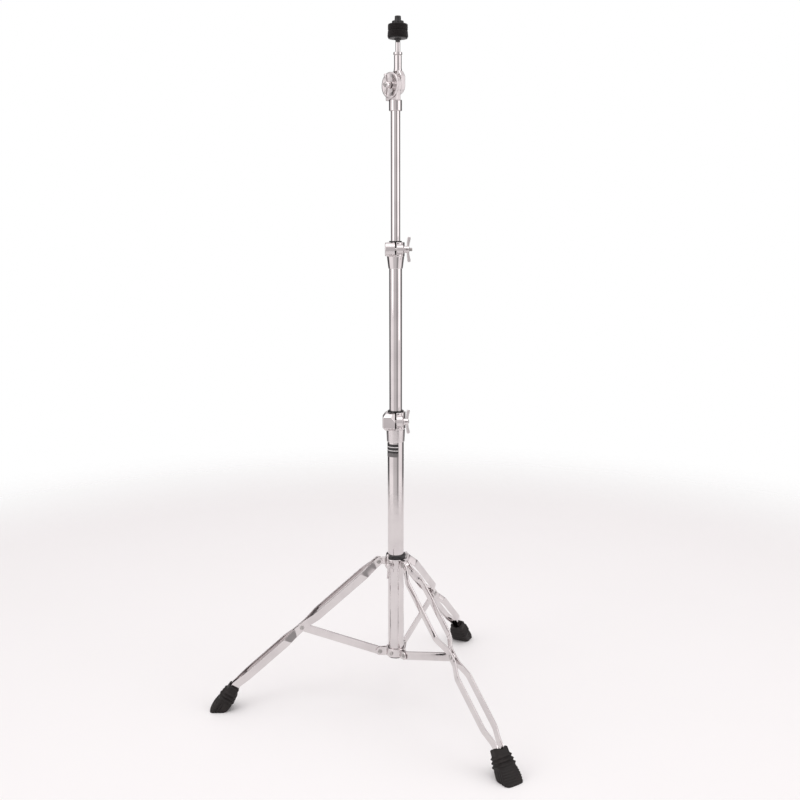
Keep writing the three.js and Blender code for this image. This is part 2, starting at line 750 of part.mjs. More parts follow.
function bootSolid() {
  const down = new THREE.Vector3(Math.cos(bend), 0, -Math.sin(bend));
  const toeward = new THREE.Vector3(Math.sin(bend), 0, Math.cos(bend));
  const { point } = legStation(bendAt);
  const place = (depth) => frame(toeward, yAxis, down, point.clone().addScaledVector(down, bootTop + depth));
  const { halfWidth: x, halfSide: y } = bootPocket;
  const body = loft(bootRows().map(([depth, toe, heel, side]) => ({
    outline: bootOutline(x + toe, x + heel, y + side), matrix: place(depth),
  })));
  const square = [[-x, -y], [x, -y], [x, y], [-x, y]];
  const pocket = loft([-past, bootPocket.depth].map((at) => ({ outline: square, matrix: place(at) })));
  const ground = new THREE.BoxGeometry(200, 200, 100).translate(footRadius, 0, -50);
  return cut(body, pocket, solid(ground, legMatrix().invert()));
}

// ---- Tilter ----

function tilterBaseSolid() {
  const { radius, halfWidth, thickness } = tilterJoint;
  const drop = hingeHeight - sleeve.top + 2 * soft;
  const face = new THREE.Shape();
  const meet = Math.asin(halfWidth / radius);
  face.moveTo(-halfWidth, -drop);
  face.lineTo(halfWidth, -drop);
  face.lineTo(halfWidth, -radius * Math.cos(meet));
  face.absarc(0, 0, radius, meet - Math.PI / 2, (3 * Math.PI) / 2 - meet, false);
  face.closePath();
  const cheek = plate(face, thickness, alongX(gap, 0, hingeHeight), soft, 12);
  const socket = turned([
    [0, sleeve.bottom], [sleeve.radius - soft, sleeve.bottom], [sleeve.radius, sleeve.bottom + soft],
    [sleeve.radius, sleeve.top - soft], [sleeve.radius - soft, sleeve.top], [0, sleeve.top],
  ]);
  const bore = rod(upperTube.radius + gap, sleeve.bottom - past, upperTube.top + gap, facets);
  const boltLine = alongX(0, 0, hingeHeight);
  const hole = rod(clampBolt.radius + gap, -past, thickness + gap + past, smallFacets, boltLine);
  return cut(join(cheek, socket), bore, hole);
}

// The round stem above the joint, flared where it meets the head.
function postStem(place) {
  const top = flare.bottom + flare.height;
  return turned([
    [0, flare.bottom], [flare.foot, flare.bottom],
    [post.radius + flare.waist, flare.bottom + flare.height / 2], [post.radius, top],
    [post.radius, post.top - soft], [post.radius - soft, post.top], [0, post.top],
  ], facets, place);
}

function tilterHeadSolid() {
  const { radius, halfWidth, thickness, shoulder } = tilterJoint;
  const neck = flare.bottom + flare.height / 2 - hingeHeight;
  const face = new THREE.Shape();
  face.moveTo(halfWidth, shoulder);
  face.lineTo(flare.radius, neck);
  face.lineTo(-flare.radius, neck);
  face.lineTo(-halfWidth, shoulder);
  face.absarc(0, 0, halfWidth, Math.PI, 2 * Math.PI, false);
  face.closePath();
  const cheek = plate(face, thickness, alongX(-gap - thickness, 0, hingeHeight), soft, 10);
  const place = frame(xAxis, yAxis, zAxis, new THREE.Vector3(-post.setBack, 0, 0));
  const behind = block(-radius, -gap, -radius, radius, hingeHeight, post.top + past);
  const above = block(-radius, radius, -radius, radius, hingeHeight + radius + past, post.top + past);
  const stem = postStem(place).intersect(join(behind, above));
  const blind = rod(seatRodRadius + gap, post.top - post.blindHole, post.top + past, rodFacets, place);
  const boltLine = alongX(0, 0, hingeHeight);
  const hole = rod(clampBolt.radius + gap, -thickness - gap - past, past, smallFacets, boltLine);
  return cut(join(cheek, stem), blind, hole);
}

function tilterPlateSolid() {
  const { radius, thickness, dish, rim } = tilterPlate;
  const hole = clampBolt.radius + gap;
  return ring([
    [hole, 0], [radius - rim, 0], [radius, rim], [radius, thickness - rim], [radius - rim, thickness],
    [radius * 0.6, thickness - dish], [hole, thickness - dish],
  ]);
}

function addTilter(mast) {
  const group = turnedGroup(mast, tilterAzimuth);
  addPart(group, "tilter_base", tilterBaseSolid(), "chrome");
  addPart(group, "tilter_head", tilterHeadSolid(), "chrome");
  const plateSeat = tilterJoint.thickness + 2 * gap;
  const nutSeat = plateSeat + tilterPlate.thickness + gap;
  const headSeat = -plateSeat;
  const disc = tilterPlateSolid().transform(alongX(plateSeat, 0, hingeHeight).elements);
  addPart(group, "tilter_plate", disc, "chrome");
  const length = nutSeat + tilterNut.height + tilterStickOut - headSeat;
  const bolt = boltSolid(clampBolt.radius, clampBolt.headRadius, tilterBoltHead, length);
  addPart(group, "tilter_bolt", bolt.transform(alongX(headSeat, 0, hingeHeight).elements), "satinSteel");
  const nut = wingNutSolid(tilterNut, clampBolt.radius + gap);
  addPart(group, "tilter_wing_nut", nut.transform(alongX(nutSeat, 0, hingeHeight).elements), "chrome");
  addSeat(group);
}

// ---- Cymbal seat ----

const seatHole = seatRodRadius + gap;

function postRingSolid() {
  const { radius, height } = postRing;
  const bottom = post.top + gap;
  const top = bottom + height;
  return ring([
    [seatHole, bottom], [radius - soft, bottom], [radius, bottom + soft], [radius, top - soft],
    [radius - soft, top], [seatHole, top],
  ]);
}

function seatRodSolid(top) {
  const bottom = post.top - post.blindHole + gap;
  return turned([
    [0, bottom], [seatRodRadius, bottom], [seatRodRadius, top - soft], [seatRodRadius - soft, top], [0, top],
  ], rodFacets);
}

function cupWasherSolid() {
  const { bottom, radius, hubRadius, hubHeight, thickness, bevel } = cupWasher;
  const brim = bottom + hubHeight;
  const top = brim + thickness;
  return ring([
    [seatHole, bottom], [hubRadius - soft, bottom], [hubRadius, brim], [radius - bevel, brim],
    [radius, brim + bevel], [radius, top - bevel], [radius - bevel, top], [seatHole, top],
  ]);
}

function sleeveNutSolid(bottom, rodTop) {
  const { flangeRadius, flangeHeight, radius, height } = topNut;
  const flangeTop = bottom + flangeHeight;
  const top = flangeTop + height;
  const nut = turned([
    [0, bottom], [flangeRadius, bottom], [flangeRadius, flangeTop - soft], [flangeRadius - soft, flangeTop],
    [radius + soft, flangeTop], [radius, flangeTop + soft], [radius, top - soft],
    [radius - soft, top], [0, top],
  ]);
  return cut(nut, rod(seatHole, bottom - past, rodTop + gap, rodFacets));
}

function addSeat(tilter) {
  const seat = new THREE.Group();
  seat.position.x = -post.setBack;
  tilter.add(seat);
  const lowerFelt = cupWasher.bottom + cupWasher.hubHeight + cupWasher.thickness + gap;
  const upperFelt = lowerFelt + felt.height + gap;
  const nutBottom = upperFelt + felt.height + gap;
  const rodTop = nutBottom + topNut.flangeHeight + topNut.height - topNut.aboveRod;
  addPart(seat, "post_ring", postRingSolid(), "chrome");
  addPart(seat, "seat_rod", seatRodSolid(rodTop), "satinSteel");
  addPart(seat, "cup_washer", cupWasherSolid(), "chrome");
  addPart(seat, "lower_felt", feltSolid(lowerFelt, felt.rim), "felt");
  addPart(seat, "upper_felt", feltSolid(upperFelt, 0), "felt");
  addPart(seat, "top_sleeve_nut", sleeveNutSolid(nutBottom, rodTop), "nylon");
}

function feltSolid(bottom, rim) {
  const { radius, height, edge } = felt;
  const outer = radius + rim;
  const top = bottom + height;
  return ring([
    [seatHole, bottom], [outer - edge / 2, bottom], [outer, bottom + edge / 2],
    [radius, top - edge], [radius - edge * 0.3, top - edge * 0.3], [radius - edge, top], [seatHole, top],
  ]);
}

// ---- Assembly ----

function addMast(mast) {
  addPart(mast, "base_tube", tubeSolid(baseTube), "chrome");
  addPart(mast, "middle_tube", tubeSolid(middleTube), "chrome");
  addPart(mast, "upper_tube", tubeSolid(upperTube), "chrome");
  addPart(mast, "tube_end_plug", endPlugSolid(), "nylon");
  addPart(turnedGroup(mast, label.azimuth), "label", labelSolid(), "labelFilm");
  addClamp(mast, "base", baseClamp, baseTube);
  addClamp(mast, "upper", upperClamp, middleTube);
}

function addCollars(mast) {
  addPart(mast, "leg_collar", legCollarSolid(), "chrome");
  const onCollar = turnedGroup(mast, 0, legPivot.height + legCollar.above + gap);
  addPart(onCollar, "leg_collar_ring", collarRingSolid(), "nylon");
  const inBoss = turnedGroup(mast, screwAzimuth, legPivot.height - legCollar.bossBelowPivot);
  addPart(inBoss, "leg_collar_wing_screw", collarScrewSolid(), "chrome");
  addPart(mast, "lower_collar", lowerCollarSolid(), "chrome");
  addPart(turnedGroup(mast, screwAzimuth), "lower_collar_screw", lowerCollarScrewSolid(), "satinSteel");
}

function addLeg(mast, leg) {
  const name = `leg_${leg + 1}`;
  const side = turnedGroup(mast, legAzimuth(leg));
  const legGroup = new THREE.Group();
  legGroup.applyMatrix4(legMatrix());
  side.add(legGroup);
  addPart(legGroup, `${name}_left_strip`, stripSolid(1), "chrome");
  addPart(legGroup, `${name}_right_strip`, stripSolid(-1), "chrome");
  const lugRivet = rivetSolid(legCollar.lugHalf + strip.thickness + 2 * gap);
  addPart(legGroup, `${name}_pivot_rivet`, lugRivet.transform(alongY(0, 0, 0).elements), "satinSteel");
  addPart(legGroup, `${name}_left_brace_rivet`, pinchRivetSolid(1), "satinSteel");
  addPart(legGroup, `${name}_right_brace_rivet`, pinchRivetSolid(-1), "satinSteel");
  addPart(legGroup, `boot_${leg + 1}`, bootSolid(), "rubber");
  const braceGroup = new THREE.Group();
  braceGroup.applyMatrix4(braceMatrix());
  side.add(braceGroup);
  addPart(braceGroup, `brace_${leg + 1}`, braceSolid(), "chrome");
  const braceRivet = rivetSolid(brace.thickness / 2 + lowerCollar.lugThickness + 2 * gap);
  addPart(braceGroup, `brace_${leg + 1}_rivet`, braceRivet.transform(alongY(0, 0, 0).elements), "satinSteel");
}

const stand = new THREE.Group();
addMast(stand);
addCollars(stand);
for (let leg = 0; leg < legCount; leg += 1) addLeg(stand, leg);
addTilter(stand);

// The mast stands off the origin so that the box round the whole stand is centred on it.
stand.updateMatrixWorld(true);
const box = new THREE.Box3().setFromObject(stand, true);
stand.position.x = -(box.min.x + box.max.x) / 2;

const cymbalStand = new THREE.Group();
cymbalStand.add(stand);

export default cymbalStand;
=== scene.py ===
import json
import math
from math import cos, pi, radians, sin

import bmesh
import bpy
from mathutils import Matrix, Vector, noise


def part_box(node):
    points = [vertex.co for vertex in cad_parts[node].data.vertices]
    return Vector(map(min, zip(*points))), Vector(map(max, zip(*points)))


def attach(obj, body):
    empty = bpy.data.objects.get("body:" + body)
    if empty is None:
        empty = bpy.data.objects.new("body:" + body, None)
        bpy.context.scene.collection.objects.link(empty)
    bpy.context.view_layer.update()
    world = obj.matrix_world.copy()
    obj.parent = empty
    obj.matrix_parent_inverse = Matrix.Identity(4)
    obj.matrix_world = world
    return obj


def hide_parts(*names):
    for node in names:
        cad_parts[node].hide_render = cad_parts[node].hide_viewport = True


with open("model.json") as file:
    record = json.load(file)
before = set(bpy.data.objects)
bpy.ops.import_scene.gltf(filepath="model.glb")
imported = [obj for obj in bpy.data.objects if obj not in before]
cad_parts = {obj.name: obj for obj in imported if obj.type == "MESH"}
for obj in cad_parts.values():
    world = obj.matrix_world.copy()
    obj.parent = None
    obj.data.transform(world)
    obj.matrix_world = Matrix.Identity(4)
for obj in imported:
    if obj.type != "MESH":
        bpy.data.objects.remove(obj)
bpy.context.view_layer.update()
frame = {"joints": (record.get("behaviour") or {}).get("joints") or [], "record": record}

# A straight double-braced cymbal stand. Every piece is remade finely in place of its plain
# counterpart in the frame. Sizes are in millimetres, angles in degrees.

perMetre = 1000.0
record = frame["record"]
bodyOf = {node: body for body, members in record["behaviour"]["bodies"].items() for node in members}
slotOf = {row["node"]: row["material_slot"] for row in record["subparts"]}
joints = {joint["name"]: joint for joint in frame["joints"]}
up = Vector((0, 0, 1))


def lowOf(node):
    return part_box(node)[0] * perMetre


def highOf(node):
    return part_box(node)[1] * perMetre


def midOf(node):
    return (lowOf(node) + highOf(node)) / 2


def spanOf(node):
    return lowOf(node).z, highOf(node).z


def radiusOf(node):
    return (highOf(node).x - lowOf(node).x) / 2


def jointPoint(name):
    return Vector(joints[name]["pos_m"]) * perMetre


def jointAxis(name):
    return Vector(joints[name]["axis"]).normalized()


def placing(x, y, z, origin=(0, 0, 0)):
    made = Matrix((x, y, z)).transposed().to_4x4()
    made.translation = origin
    return made


def upright(x, origin):  # local z stays up and local x points along a level direction
    return placing(x, up.cross(x), up, origin)


def alongX(place, x=0, y=0, z=0):  # local z runs along the x of another place
    return place @ placing((0, 1, 0), (0, 0, 1), (1, 0, 0), (x, y, z))


def alongY(place, x=0, y=0, z=0):
    return place @ placing((0, 0, 1), (1, 0, 0), (0, 1, 0), (x, y, z))


def onEdge(place):  # local z runs across a place, so that an outline stands upright in it
    return place @ placing((1, 0, 0), (0, 0, -1), (0, 1, 0))


def direction(azimuth):
    return Vector((cos(radians(azimuth)), sin(radians(azimuth)), 0))


mastAt = Vector((midOf("base_tube").x, midOf("base_tube").y, 0))
mast = upright(Vector((1, 0, 0)), mastAt)
tubeRadius = radiusOf("base_tube")
legNumbers = (1, 2, 3)
gap = 0.3  # left between neighbouring pieces
past = 3  # how far a cut runs beyond the faces that it opens


def rounded(points, radius, steps=4, loop=False):
    # softens the corners of an outline, each by its own radius if a list is given
    made = []
    count = len(points)
    for i, point in enumerate(points):
        here = Vector(point)
        size = radius[i] if isinstance(radius, (list, tuple)) else radius
        if size <= 0 or (not loop and i in (0, count - 1)):
            made.append(here)
            continue
        back = Vector(points[i - 1]) - here
        ahead = Vector(points[(i + 1) % count]) - here
        corner = max(back.angle(ahead), 0.05)
        reach = min(size / math.tan(corner / 2), 0.48 * back.length, 0.48 * ahead.length)
        start = here + back.normalized() * reach
        end = here + ahead.normalized() * reach
        for step in range(steps + 1):
            t = step / steps
            made.append(start * (1 - t) ** 2 + here * (2 * t * (1 - t)) + end * t ** 2)
    return [tuple(p) for p in made]


def arc(x, y, radius, start, end, steps):
    turns = [radians(start + (end - start) * i / steps) for i in range(steps + 1)]
    return [(x + radius * cos(a), y + radius * sin(a)) for a in turns]


def ramp(value, low, high):  # a smooth step from 0 to 1
    t = min(max((value - low) / (high - low), 0), 1)
    return t * t * (3 - 2 * t)


def between(rows, at, soften=0):
    # reads a table of (position, values...) at one position, with its corners softened
    if soften:
        steps = [at + soften * k / 4 for k in range(-4, 5)]
        reads = [between(rows, step) for step in steps]
        return [sum(column) / len(reads) for column in zip(*reads)]
    if at <= rows[0][0]:
        return list(rows[0][1:])
    for before, after in zip(rows, rows[1:]):
        if at <= after[0]:
            t = (at - before[0]) / (after[0] - before[0])
            return [a + (b - a) * t for a, b in zip(before[1:], after[1:])]
    return list(rows[-1][1:])


def skin(rows, loop=False, capped=True):
    # quads between rows of points; a row of one point is the tip of a fan
    bm = bmesh.new()
    made = [[bm.verts.new(point) for point in row] for row in rows]
    pairs = list(zip(made, made[1:] + made[:1])) if loop else list(zip(made, made[1:]))
    for a, b in pairs:
        for i in range(max(len(a), len(b))):
            j = (i + 1) % max(len(a), len(b))
            if len(a) == 1:
                bm.faces.new((a[0], b[j], b[i]))
            elif len(b) == 1:
                bm.faces.new((a[i], a[j], b[0]))
            else:
                bm.faces.new((a[i], a[j], b[j], b[i]))
    if capped and not loop:
        for row in (made[0], made[-1]):
            if len(row) > 1:
                bm.faces.new(row)
    bmesh.ops.recalc_face_normals(bm, faces=bm.faces)
    return bm


def circle(radius, height, place, around, shape=None):
    turns = [2 * pi * i / around for i in range(around)]
    reach = [shape(radius, a) if shape else radius for a in turns]
    return [place @ Vector((r * cos(a), r * sin(a), height)) for r, a in zip(reach, turns)]


def turn(profile, place=mast, around=96, loop=False, shape=None):
    # turns (radius, height) points round a place's z; a point on the axis closes an end
    rows = []
    for radius, height in profile:
        tip = [place @ Vector((0, 0, height))]
        rows.append(tip if radius < 1e-4 else circle(radius, height, place, around, shape))
    return skin(rows, loop)


def rod(radius, low, high, place, around=32, edge=0, steps=4):  # a round bar, to join or to drill with
    profile = [(0, low), (radius, low), (radius, high), (0, high)]
    return turn(rounded(profile, edge, steps) if edge else profile, place, around)


def ring(inner, outer, low, high, edges, steps, place, around):
    wall = rounded([(inner, low), (outer, low), (outer, high), (inner, high)], edges, steps, True)
    return turn(wall, place, around, True)


def prism(outline, low, high, place, edge=0.0, steps=3):
    bm = bmesh.new()
    bottom = [bm.verts.new((x, y, low)) for x, y in outline]
    top = [bm.verts.new((x, y, high)) for x, y in outline]
    caps = [bm.faces.new(bottom), bm.faces.new(top)]
    for i in range(len(outline)):
        j = (i + 1) % len(outline)
        bm.faces.new((bottom[i], bottom[j], top[j], top[i]))
    bmesh.ops.recalc_face_normals(bm, faces=bm.faces)
    if edge:
        rims = list(dict.fromkeys(e for face in caps for e in face.edges))
        bmesh.ops.bevel(
            bm, geom=rims, offset=edge, segments=steps, profile=0.5, affect="EDGES", clamp_overlap=True,
        )
    bmesh.ops.transform(bm, matrix=place, verts=bm.verts)
    bmesh.ops.recalc_face_normals(bm, faces=bm.faces)
    return bm


def slab(x0, x1, y0, y1, z0, z1, place):
    return prism([(x0, y0), (x1, y0), (x1, y1), (x0, y1)], z0, z1, place)


def newMesh(name, bm):
    mesh = bpy.data.meshes.new(name)
    bm.to_mesh(mesh)
    bm.free()
    return mesh


def newObject(name, data):
    made = bpy.data.objects.new(name, data)
    bpy.context.scene.collection.objects.link(made)
    return made


def joined(*shells):  # several closed shells as one mesh
    made = bmesh.new()
    for shell in shells:
        mesh = newMesh("loose", shell)
        made.from_mesh(mesh)
        bpy.data.meshes.remove(mesh)
    return made


def trimmed(bm, place, point, normal):  # cuts away what lies beyond a plane, and closes the cut
    corner = place @ Vector(point)
    away = (place.to_3x3() @ Vector(normal)).normalized()
    everything = [*bm.verts, *bm.edges, *bm.faces]
    cut = bmesh.ops.bisect_plane(bm, geom=everything, plane_co=corner, plane_no=away, clear_outer=True)
    rim = [e for e in cut["geom_cut"] if isinstance(e, bmesh.types.BMEdge)]
    bmesh.ops.edgeloop_fill(bm, edges=rim)
    bmesh.ops.recalc_face_normals(bm, faces=bm.faces)


def looseObject(bm):
    bmesh.ops.triangulate(bm, faces=bm.faces)
    return newObject("loose", newMesh("loose", bm))


def cast(adds, cuts, grain=0.42, softening=5):
    # joins and cuts closed shells, then skins them evenly so that every edge is soft, as on a casting
    body = looseObject(adds[0])
    others = []
    for operation, shells in (("UNION", adds[1:]), ("DIFFERENCE", cuts)):
        for shell in shells:
            other = looseObject(shell)
            step = body.modifiers.new("step", "BOOLEAN")
            step.operation = operation
            step.solver = "MANIFOLD"
            step.object = other
            others.append(other)
    even = body.modifiers.new("even", "REMESH")
    even.mode = "VOXEL"
    even.voxel_size = grain
    soft = body.modifiers.new("soft", "SMOOTH")
    soft.factor = 0.5
    soft.iterations = softening
    evaluated = body.evaluated_get(bpy.context.evaluated_depsgraph_get())
    mesh = bpy.data.meshes.new_from_object(evaluated)
    made = bmesh.new()
    made.from_mesh(mesh)
    bpy.data.meshes.remove(mesh)
    for loose in [body, *others]:
        bpy.data.objects.remove(loose)
    return made


def finishPiece(node, bm, sharpFrom=40, slot=None):
    # puts a fine mesh in place of a node of the frame, riding on the same body
    slot = slot or slotOf[node]
    bmesh.ops.scale(bm, vec=(1 / perMetre,) * 3, verts=bm.verts)
    mesh = newMesh(node, bm)
    mesh.shade_smooth()
    mesh.set_sharp_from_angle(angle=radians(sharpFrom))
    mesh.materials.append(finishes[slot])
    piece = newObject(node + "_finished", mesh)
    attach(piece, bodyOf[node])
    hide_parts(node)
    return piece


class Shade:  # a shader socket that can be used in ordinary arithmetic
    def __init__(self, tree, socket=None):
        self.tree = tree
        self.socket = socket

    def node(self, kind, settings=None, inputs=None, output=0):
        made = self.tree.nodes.new("ShaderNode" + kind)
        for key, value in (settings or {}).items():
            if key == "stops":
                self.setStops(made.color_ramp, value)
            else:
                setattr(made, key, value)
        for key, value in (inputs or {}).items():
            if isinstance(value, Shade):
                self.tree.links.new(value.socket, made.inputs[key])
            else:
                made.inputs[key].default_value = value
        return Shade(self.tree, made.outputs[output]) if len(made.outputs) else made

    def setStops(self, colours, stops):
        while len(colours.elements) < len(stops):
            colours.elements.new(0.5)
        for element, (position, level) in zip(colours.elements, stops):
            element.position = position
            element.color = (level, level, level, 1) if isinstance(level, float) else (*level, 1)

    def maths(self, operation, *values):
        return self.node("Math", {"operation": operation}, dict(enumerate(values)))

    def __add__(self, other):
        return self.maths("ADD", self, other)

    def __sub__(self, other):
        return self.maths("SUBTRACT", self, other)

    def __rsub__(self, other):
        return self.maths("SUBTRACT", other, self)

    def __mul__(self, other):
        return self.maths("MULTIPLY", self, other)

    def __truediv__(self, other):
        return self.maths("DIVIDE", self, other)

    __radd__ = __add__
    __rmul__ = __mul__

    def step(self, low, high):  # 0 below low, 1 above high
        settings = {"interpolation_type": "SMOOTHSTEP"}
        return self.node("MapRange", settings, {"Value": self, "From Min": low, "From Max": high})

    def blend(self, first, second):  # two colours, with this as the share of the second
        inputs = {0: self, 6: first, 7: second}
        return self.node("Mix", {"data_type": "RGBA"}, inputs, 2)

    def noise(self, scale, detail=3.0, roughness=0.55, stretch=(1, 1, 1)):
        place = self.node("TexCoord", output="Object")
        place = self.node("Mapping", None, {"Vector": place, "Scale": stretch})
        inputs = {"Vector": place, "Scale": scale, "Detail": detail, "Roughness": roughness}
        return self.node("TexNoise", None, inputs)

    def height(self):
        place = self.node("TexCoord", output="Object")
        return self.node("SeparateXYZ", None, {0: place}, "Z")

    def bump(self, strength, distance, below=None):
        inputs = {"Strength": strength, "Distance": distance, "Height": self}
        if below is not None:
            inputs["Normal"] = below
        return self.node("Bump", None, inputs)


def newFinish(name, describe):
    material = bpy.data.materials.new(name)
    material.use_nodes = True
    material.node_tree.nodes.clear()
    shade = Shade(material.node_tree)
    surface = shade.node("BsdfPrincipled", None, describe(shade))
    shade.node("OutputMaterial", None, {"Surface": surface})
    return material


chromePlate = dict(
    bright=(0.70, 0.665, 0.665, 1), dull=(0.60, 0.565, 0.57, 1),
    smoothest=0.035, roughest=0.13, wave=0.05,
)


def chromeFinish(shade):
    smudge = shade.noise(22.0, 4.0).step(0.38, 0.72)  # handling marks, a few centimetres across
    hairlines = shade.noise(900.0, 2.0, 0.7, (1, 1, 0.04)).step(0.52, 0.78)  # fine polishing lines
    ripple = shade.noise(55.0, 1.0)  # slow waves in the plating
    spread = chromePlate["roughest"] - chromePlate["smoothest"]
    roughness = chromePlate["smoothest"] + spread * (0.55 * smudge + 0.45 * hairlines)
    return {
        "Base Color": (0.7 * smudge + 0.3 * hairlines).blend(chromePlate["bright"], chromePlate["dull"]),
        "Metallic": 1.0,
        "Roughness": roughness,
        "Normal": ripple.bump(chromePlate["wave"], 0.002),
    }


zincPlate = dict(bright=(0.56, 0.54, 0.53, 1), dark=(0.30, 0.285, 0.28, 1))


def steelFinish(shade):
    cloud = shade.noise(160.0, 4.0).step(0.3, 0.75)
    grain = shade.noise(2600.0, 2.0)
    return {
        "Base Color": cloud.blend(zincPlate["bright"], zincPlate["dark"]),
        "Metallic": 1.0,
        "Roughness": 0.22 + 0.16 * cloud + 0.06 * grain,
        "Normal": grain.bump(0.12, 0.0002),
    }


bootRubber = dict(fresh=(0.009, 0.0070, 0.0068, 1), dusty=(0.028, 0.0225, 0.0215, 1), grain=0.35)


def rubberFinish(shade):
    dust = shade.noise(60.0, 5.0, 0.6).step(0.42, 0.8)
    grain = shade.noise(1900.0, 3.0, 0.6)
    pits = shade.noise(420.0, 2.0)
    skinBump = (0.7 * grain + 0.3 * pits).bump(bootRubber["grain"], 0.0003)
    return {
        "Base Color": (0.75 * dust + 0.2 * grain).blend(bootRubber["fresh"], bootRubber["dusty"]),
        "Roughness": 0.5 + 0.2 * dust + 0.08 * grain,
        "Specular IOR Level": 0.3,
        "Normal": skinBump,
    }


woolFelt = dict(deep=(0.0055, 0.0042, 0.0042, 1), loft=(0.018, 0.014, 0.014, 1))


def feltFinish(shade):
    fibres = shade.noise(1500.0, 6.0, 0.72, (1, 1, 2.6))
    tufts = shade.noise(330.0, 3.0, 0.6)
    nap = 0.65 * fibres + 0.35 * tufts
    return {
        "Base Color": nap.step(0.35, 0.8).blend(woolFelt["deep"], woolFelt["loft"]),
        "Roughness": 0.9 + 0.08 * tufts,
        "Specular IOR Level": 0.2,
        "Sheen Weight": 0.12,
        "Sheen Roughness": 0.5,
        "Normal": nap.bump(0.8, 0.0008),
    }


mouldedNylon = dict(plain=(0.010, 0.0095, 0.0098, 1), worn=(0.026, 0.024, 0.024, 1))


def nylonFinish(shade):
    flow = shade.noise(130.0, 4.0).step(0.4, 0.8)
    grain = shade.noise(2400.0, 2.0)
    return {
        "Base Color": (0.8 * flow + 0.15 * grain).blend(mouldedNylon["plain"], mouldedNylon["worn"]),
        "Roughness": 0.34 + 0.14 * flow + 0.06 * grain,
        "Normal": grain.bump(0.2, 0.0002),
    }


# a plain black band with a grey foot and two thin white rules, and no lettering
labelPrint = dict(
    black=(0.012, 0.0105, 0.011, 1), grey=(0.13, 0.12, 0.122, 1), white=(0.78, 0.76, 0.76, 1),
    greyShare=0.30, rules=((0.47, 0.525), (0.74, 0.795)), blur=0.006,
)


def labelFinish(shade):
    low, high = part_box("label")[0].z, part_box("label")[1].z
    level = (shade.height() - low) / (high - low)
    blur = labelPrint["blur"]
    ink = level.step(labelPrint["greyShare"] - blur, labelPrint["greyShare"] + blur)
    colour = ink.blend(labelPrint["grey"], labelPrint["black"])
    for bottom, top in labelPrint["rules"]:
        rule = level.step(bottom - blur, bottom + blur) * (1 - level.step(top - blur, top + blur))
        colour = rule.blend(colour, labelPrint["white"])
    wear = shade.noise(700.0, 4.0, 0.7)
    return {
        "Base Color": (0.25 * wear.step(0.6, 0.8)).blend(colour, labelPrint["grey"]),
        "Roughness": 0.24 + 0.2 * wear,
        "Coat Weight": 0.25,
        "Normal": wear.bump(0.06, 0.0002),
    }


finishes = {
    "chrome": newFinish("bright_chrome", chromeFinish),
    "satin_steel": newFinish("zinc_steel", steelFinish),
    "rubber": newFinish("boot_rubber", rubberFinish),
    "felt": newFinish("wool_felt", feltFinish),
    "nylon": newFinish("black_nylon", nylonFinish),
    "label_film": newFinish("label_film", labelFinish),
}
print("finishes ready")


tubes = dict(walls={"base_tube": 1.6, "middle_tube": 1.5, "upper_tube": 1.4}, lip=0.5, around=128)


def makeTube(node):
    outer = radiusOf(node)
    inner = outer - tubes["walls"][node]
    finishPiece(node, ring(inner, outer, *spanOf(node), tubes["lip"], 4, mast, tubes["around"]))


plug = dict(lip=1.5, wall=2, fit=0.25, taper=0.2, edge=0.5, hollow=0.4, hollowFrom=0.62, hollowTo=0.55)


def makePlug():
    foot, top = spanOf("tube_end_plug")
    outer = radiusOf("tube_end_plug")
    inner = outer - tubes["walls"]["base_tube"] - plug["fit"]
    seat = foot + plug["lip"]
    floor = seat + plug["wall"]
    hollow = foot + plug["hollow"]
    profile = [
        (0, hollow), (outer * plug["hollowTo"], hollow), (outer * plug["hollowFrom"], foot), (outer, foot),
        (outer, seat), (inner, seat), (inner - plug["taper"], top), (inner - plug["wall"], top),
        (inner - plug["wall"], floor), (0, floor),
    ]
    finishPiece("tube_end_plug", turn(rounded(profile, plug["edge"]), mast, 64))


label = dict(lift=0.12, thickness=0.3, halfSpan=66, corner=1.6, steps=72)


def makeLabel():
    # a curved film, trimmed round at its corners
    low, high = spanOf("label")
    inner = tubeRadius + label["lift"]
    outer = inner + label["thickness"]
    centre = midOf("label") - mastAt
    middle = math.degrees(math.atan2(centre.y, centre.x))
    half, corner, steps = label["halfSpan"], label["corner"], label["steps"]
    rows = []
    for i in range(steps + 1):
        turnBy = -half + 2 * half * i / steps
        inset = max(corner - (half - abs(turnBy)) * radians(1) * inner, 0)
        trim = corner - math.sqrt(max(corner ** 2 - inset ** 2, 0))
        out = direction(middle + turnBy)
        section = [(inner, low + trim), (outer, low + trim), (outer, high - trim), (inner, high - trim)]
        rows.append([mastAt + out * r + up * z for r, z in section])
    finishPiece("label", skin(rows), 30)


for tube in tubes["walls"]:
    makeTube(tube)
makePlug()
makeLabel()
print("tubes, plug and label made")


thread = dict(depth=0.55, root=0.9, stepsPerTurn=8, around=28)


def threadRows(radius, pitch, low, high, place):
    # rows of a screw thread, which fades out at both ends
    rows = []
    count = max(int((high - low) / pitch * thread["stepsPerTurn"]), thread["stepsPerTurn"])
    for k in range(count + 1):
        z = low + (high - low) * k / count
        fade = min(ramp(z, low, low + pitch), 1 - ramp(z, high - pitch, high))
        row = []
        for i in range(thread["around"]):
            turnShare = i / thread["around"]
            saw = abs(((z / pitch - turnShare) % 1) * 2 - 1)
            r = radius - thread["depth"] * pitch * (saw * fade + (1 - fade) * thread["root"])
            a = 2 * pi * turnShare
            row.append(place @ Vector((r * cos(a), r * sin(a), z)))
        rows.append(row)
    return rows


bolts = dict(
    radius=3, shank=0.93, pitch=1.0, threadLength=14, headRadius=5, rim=0.35, slotHalf=0.6, slotDepth=0.35,
)


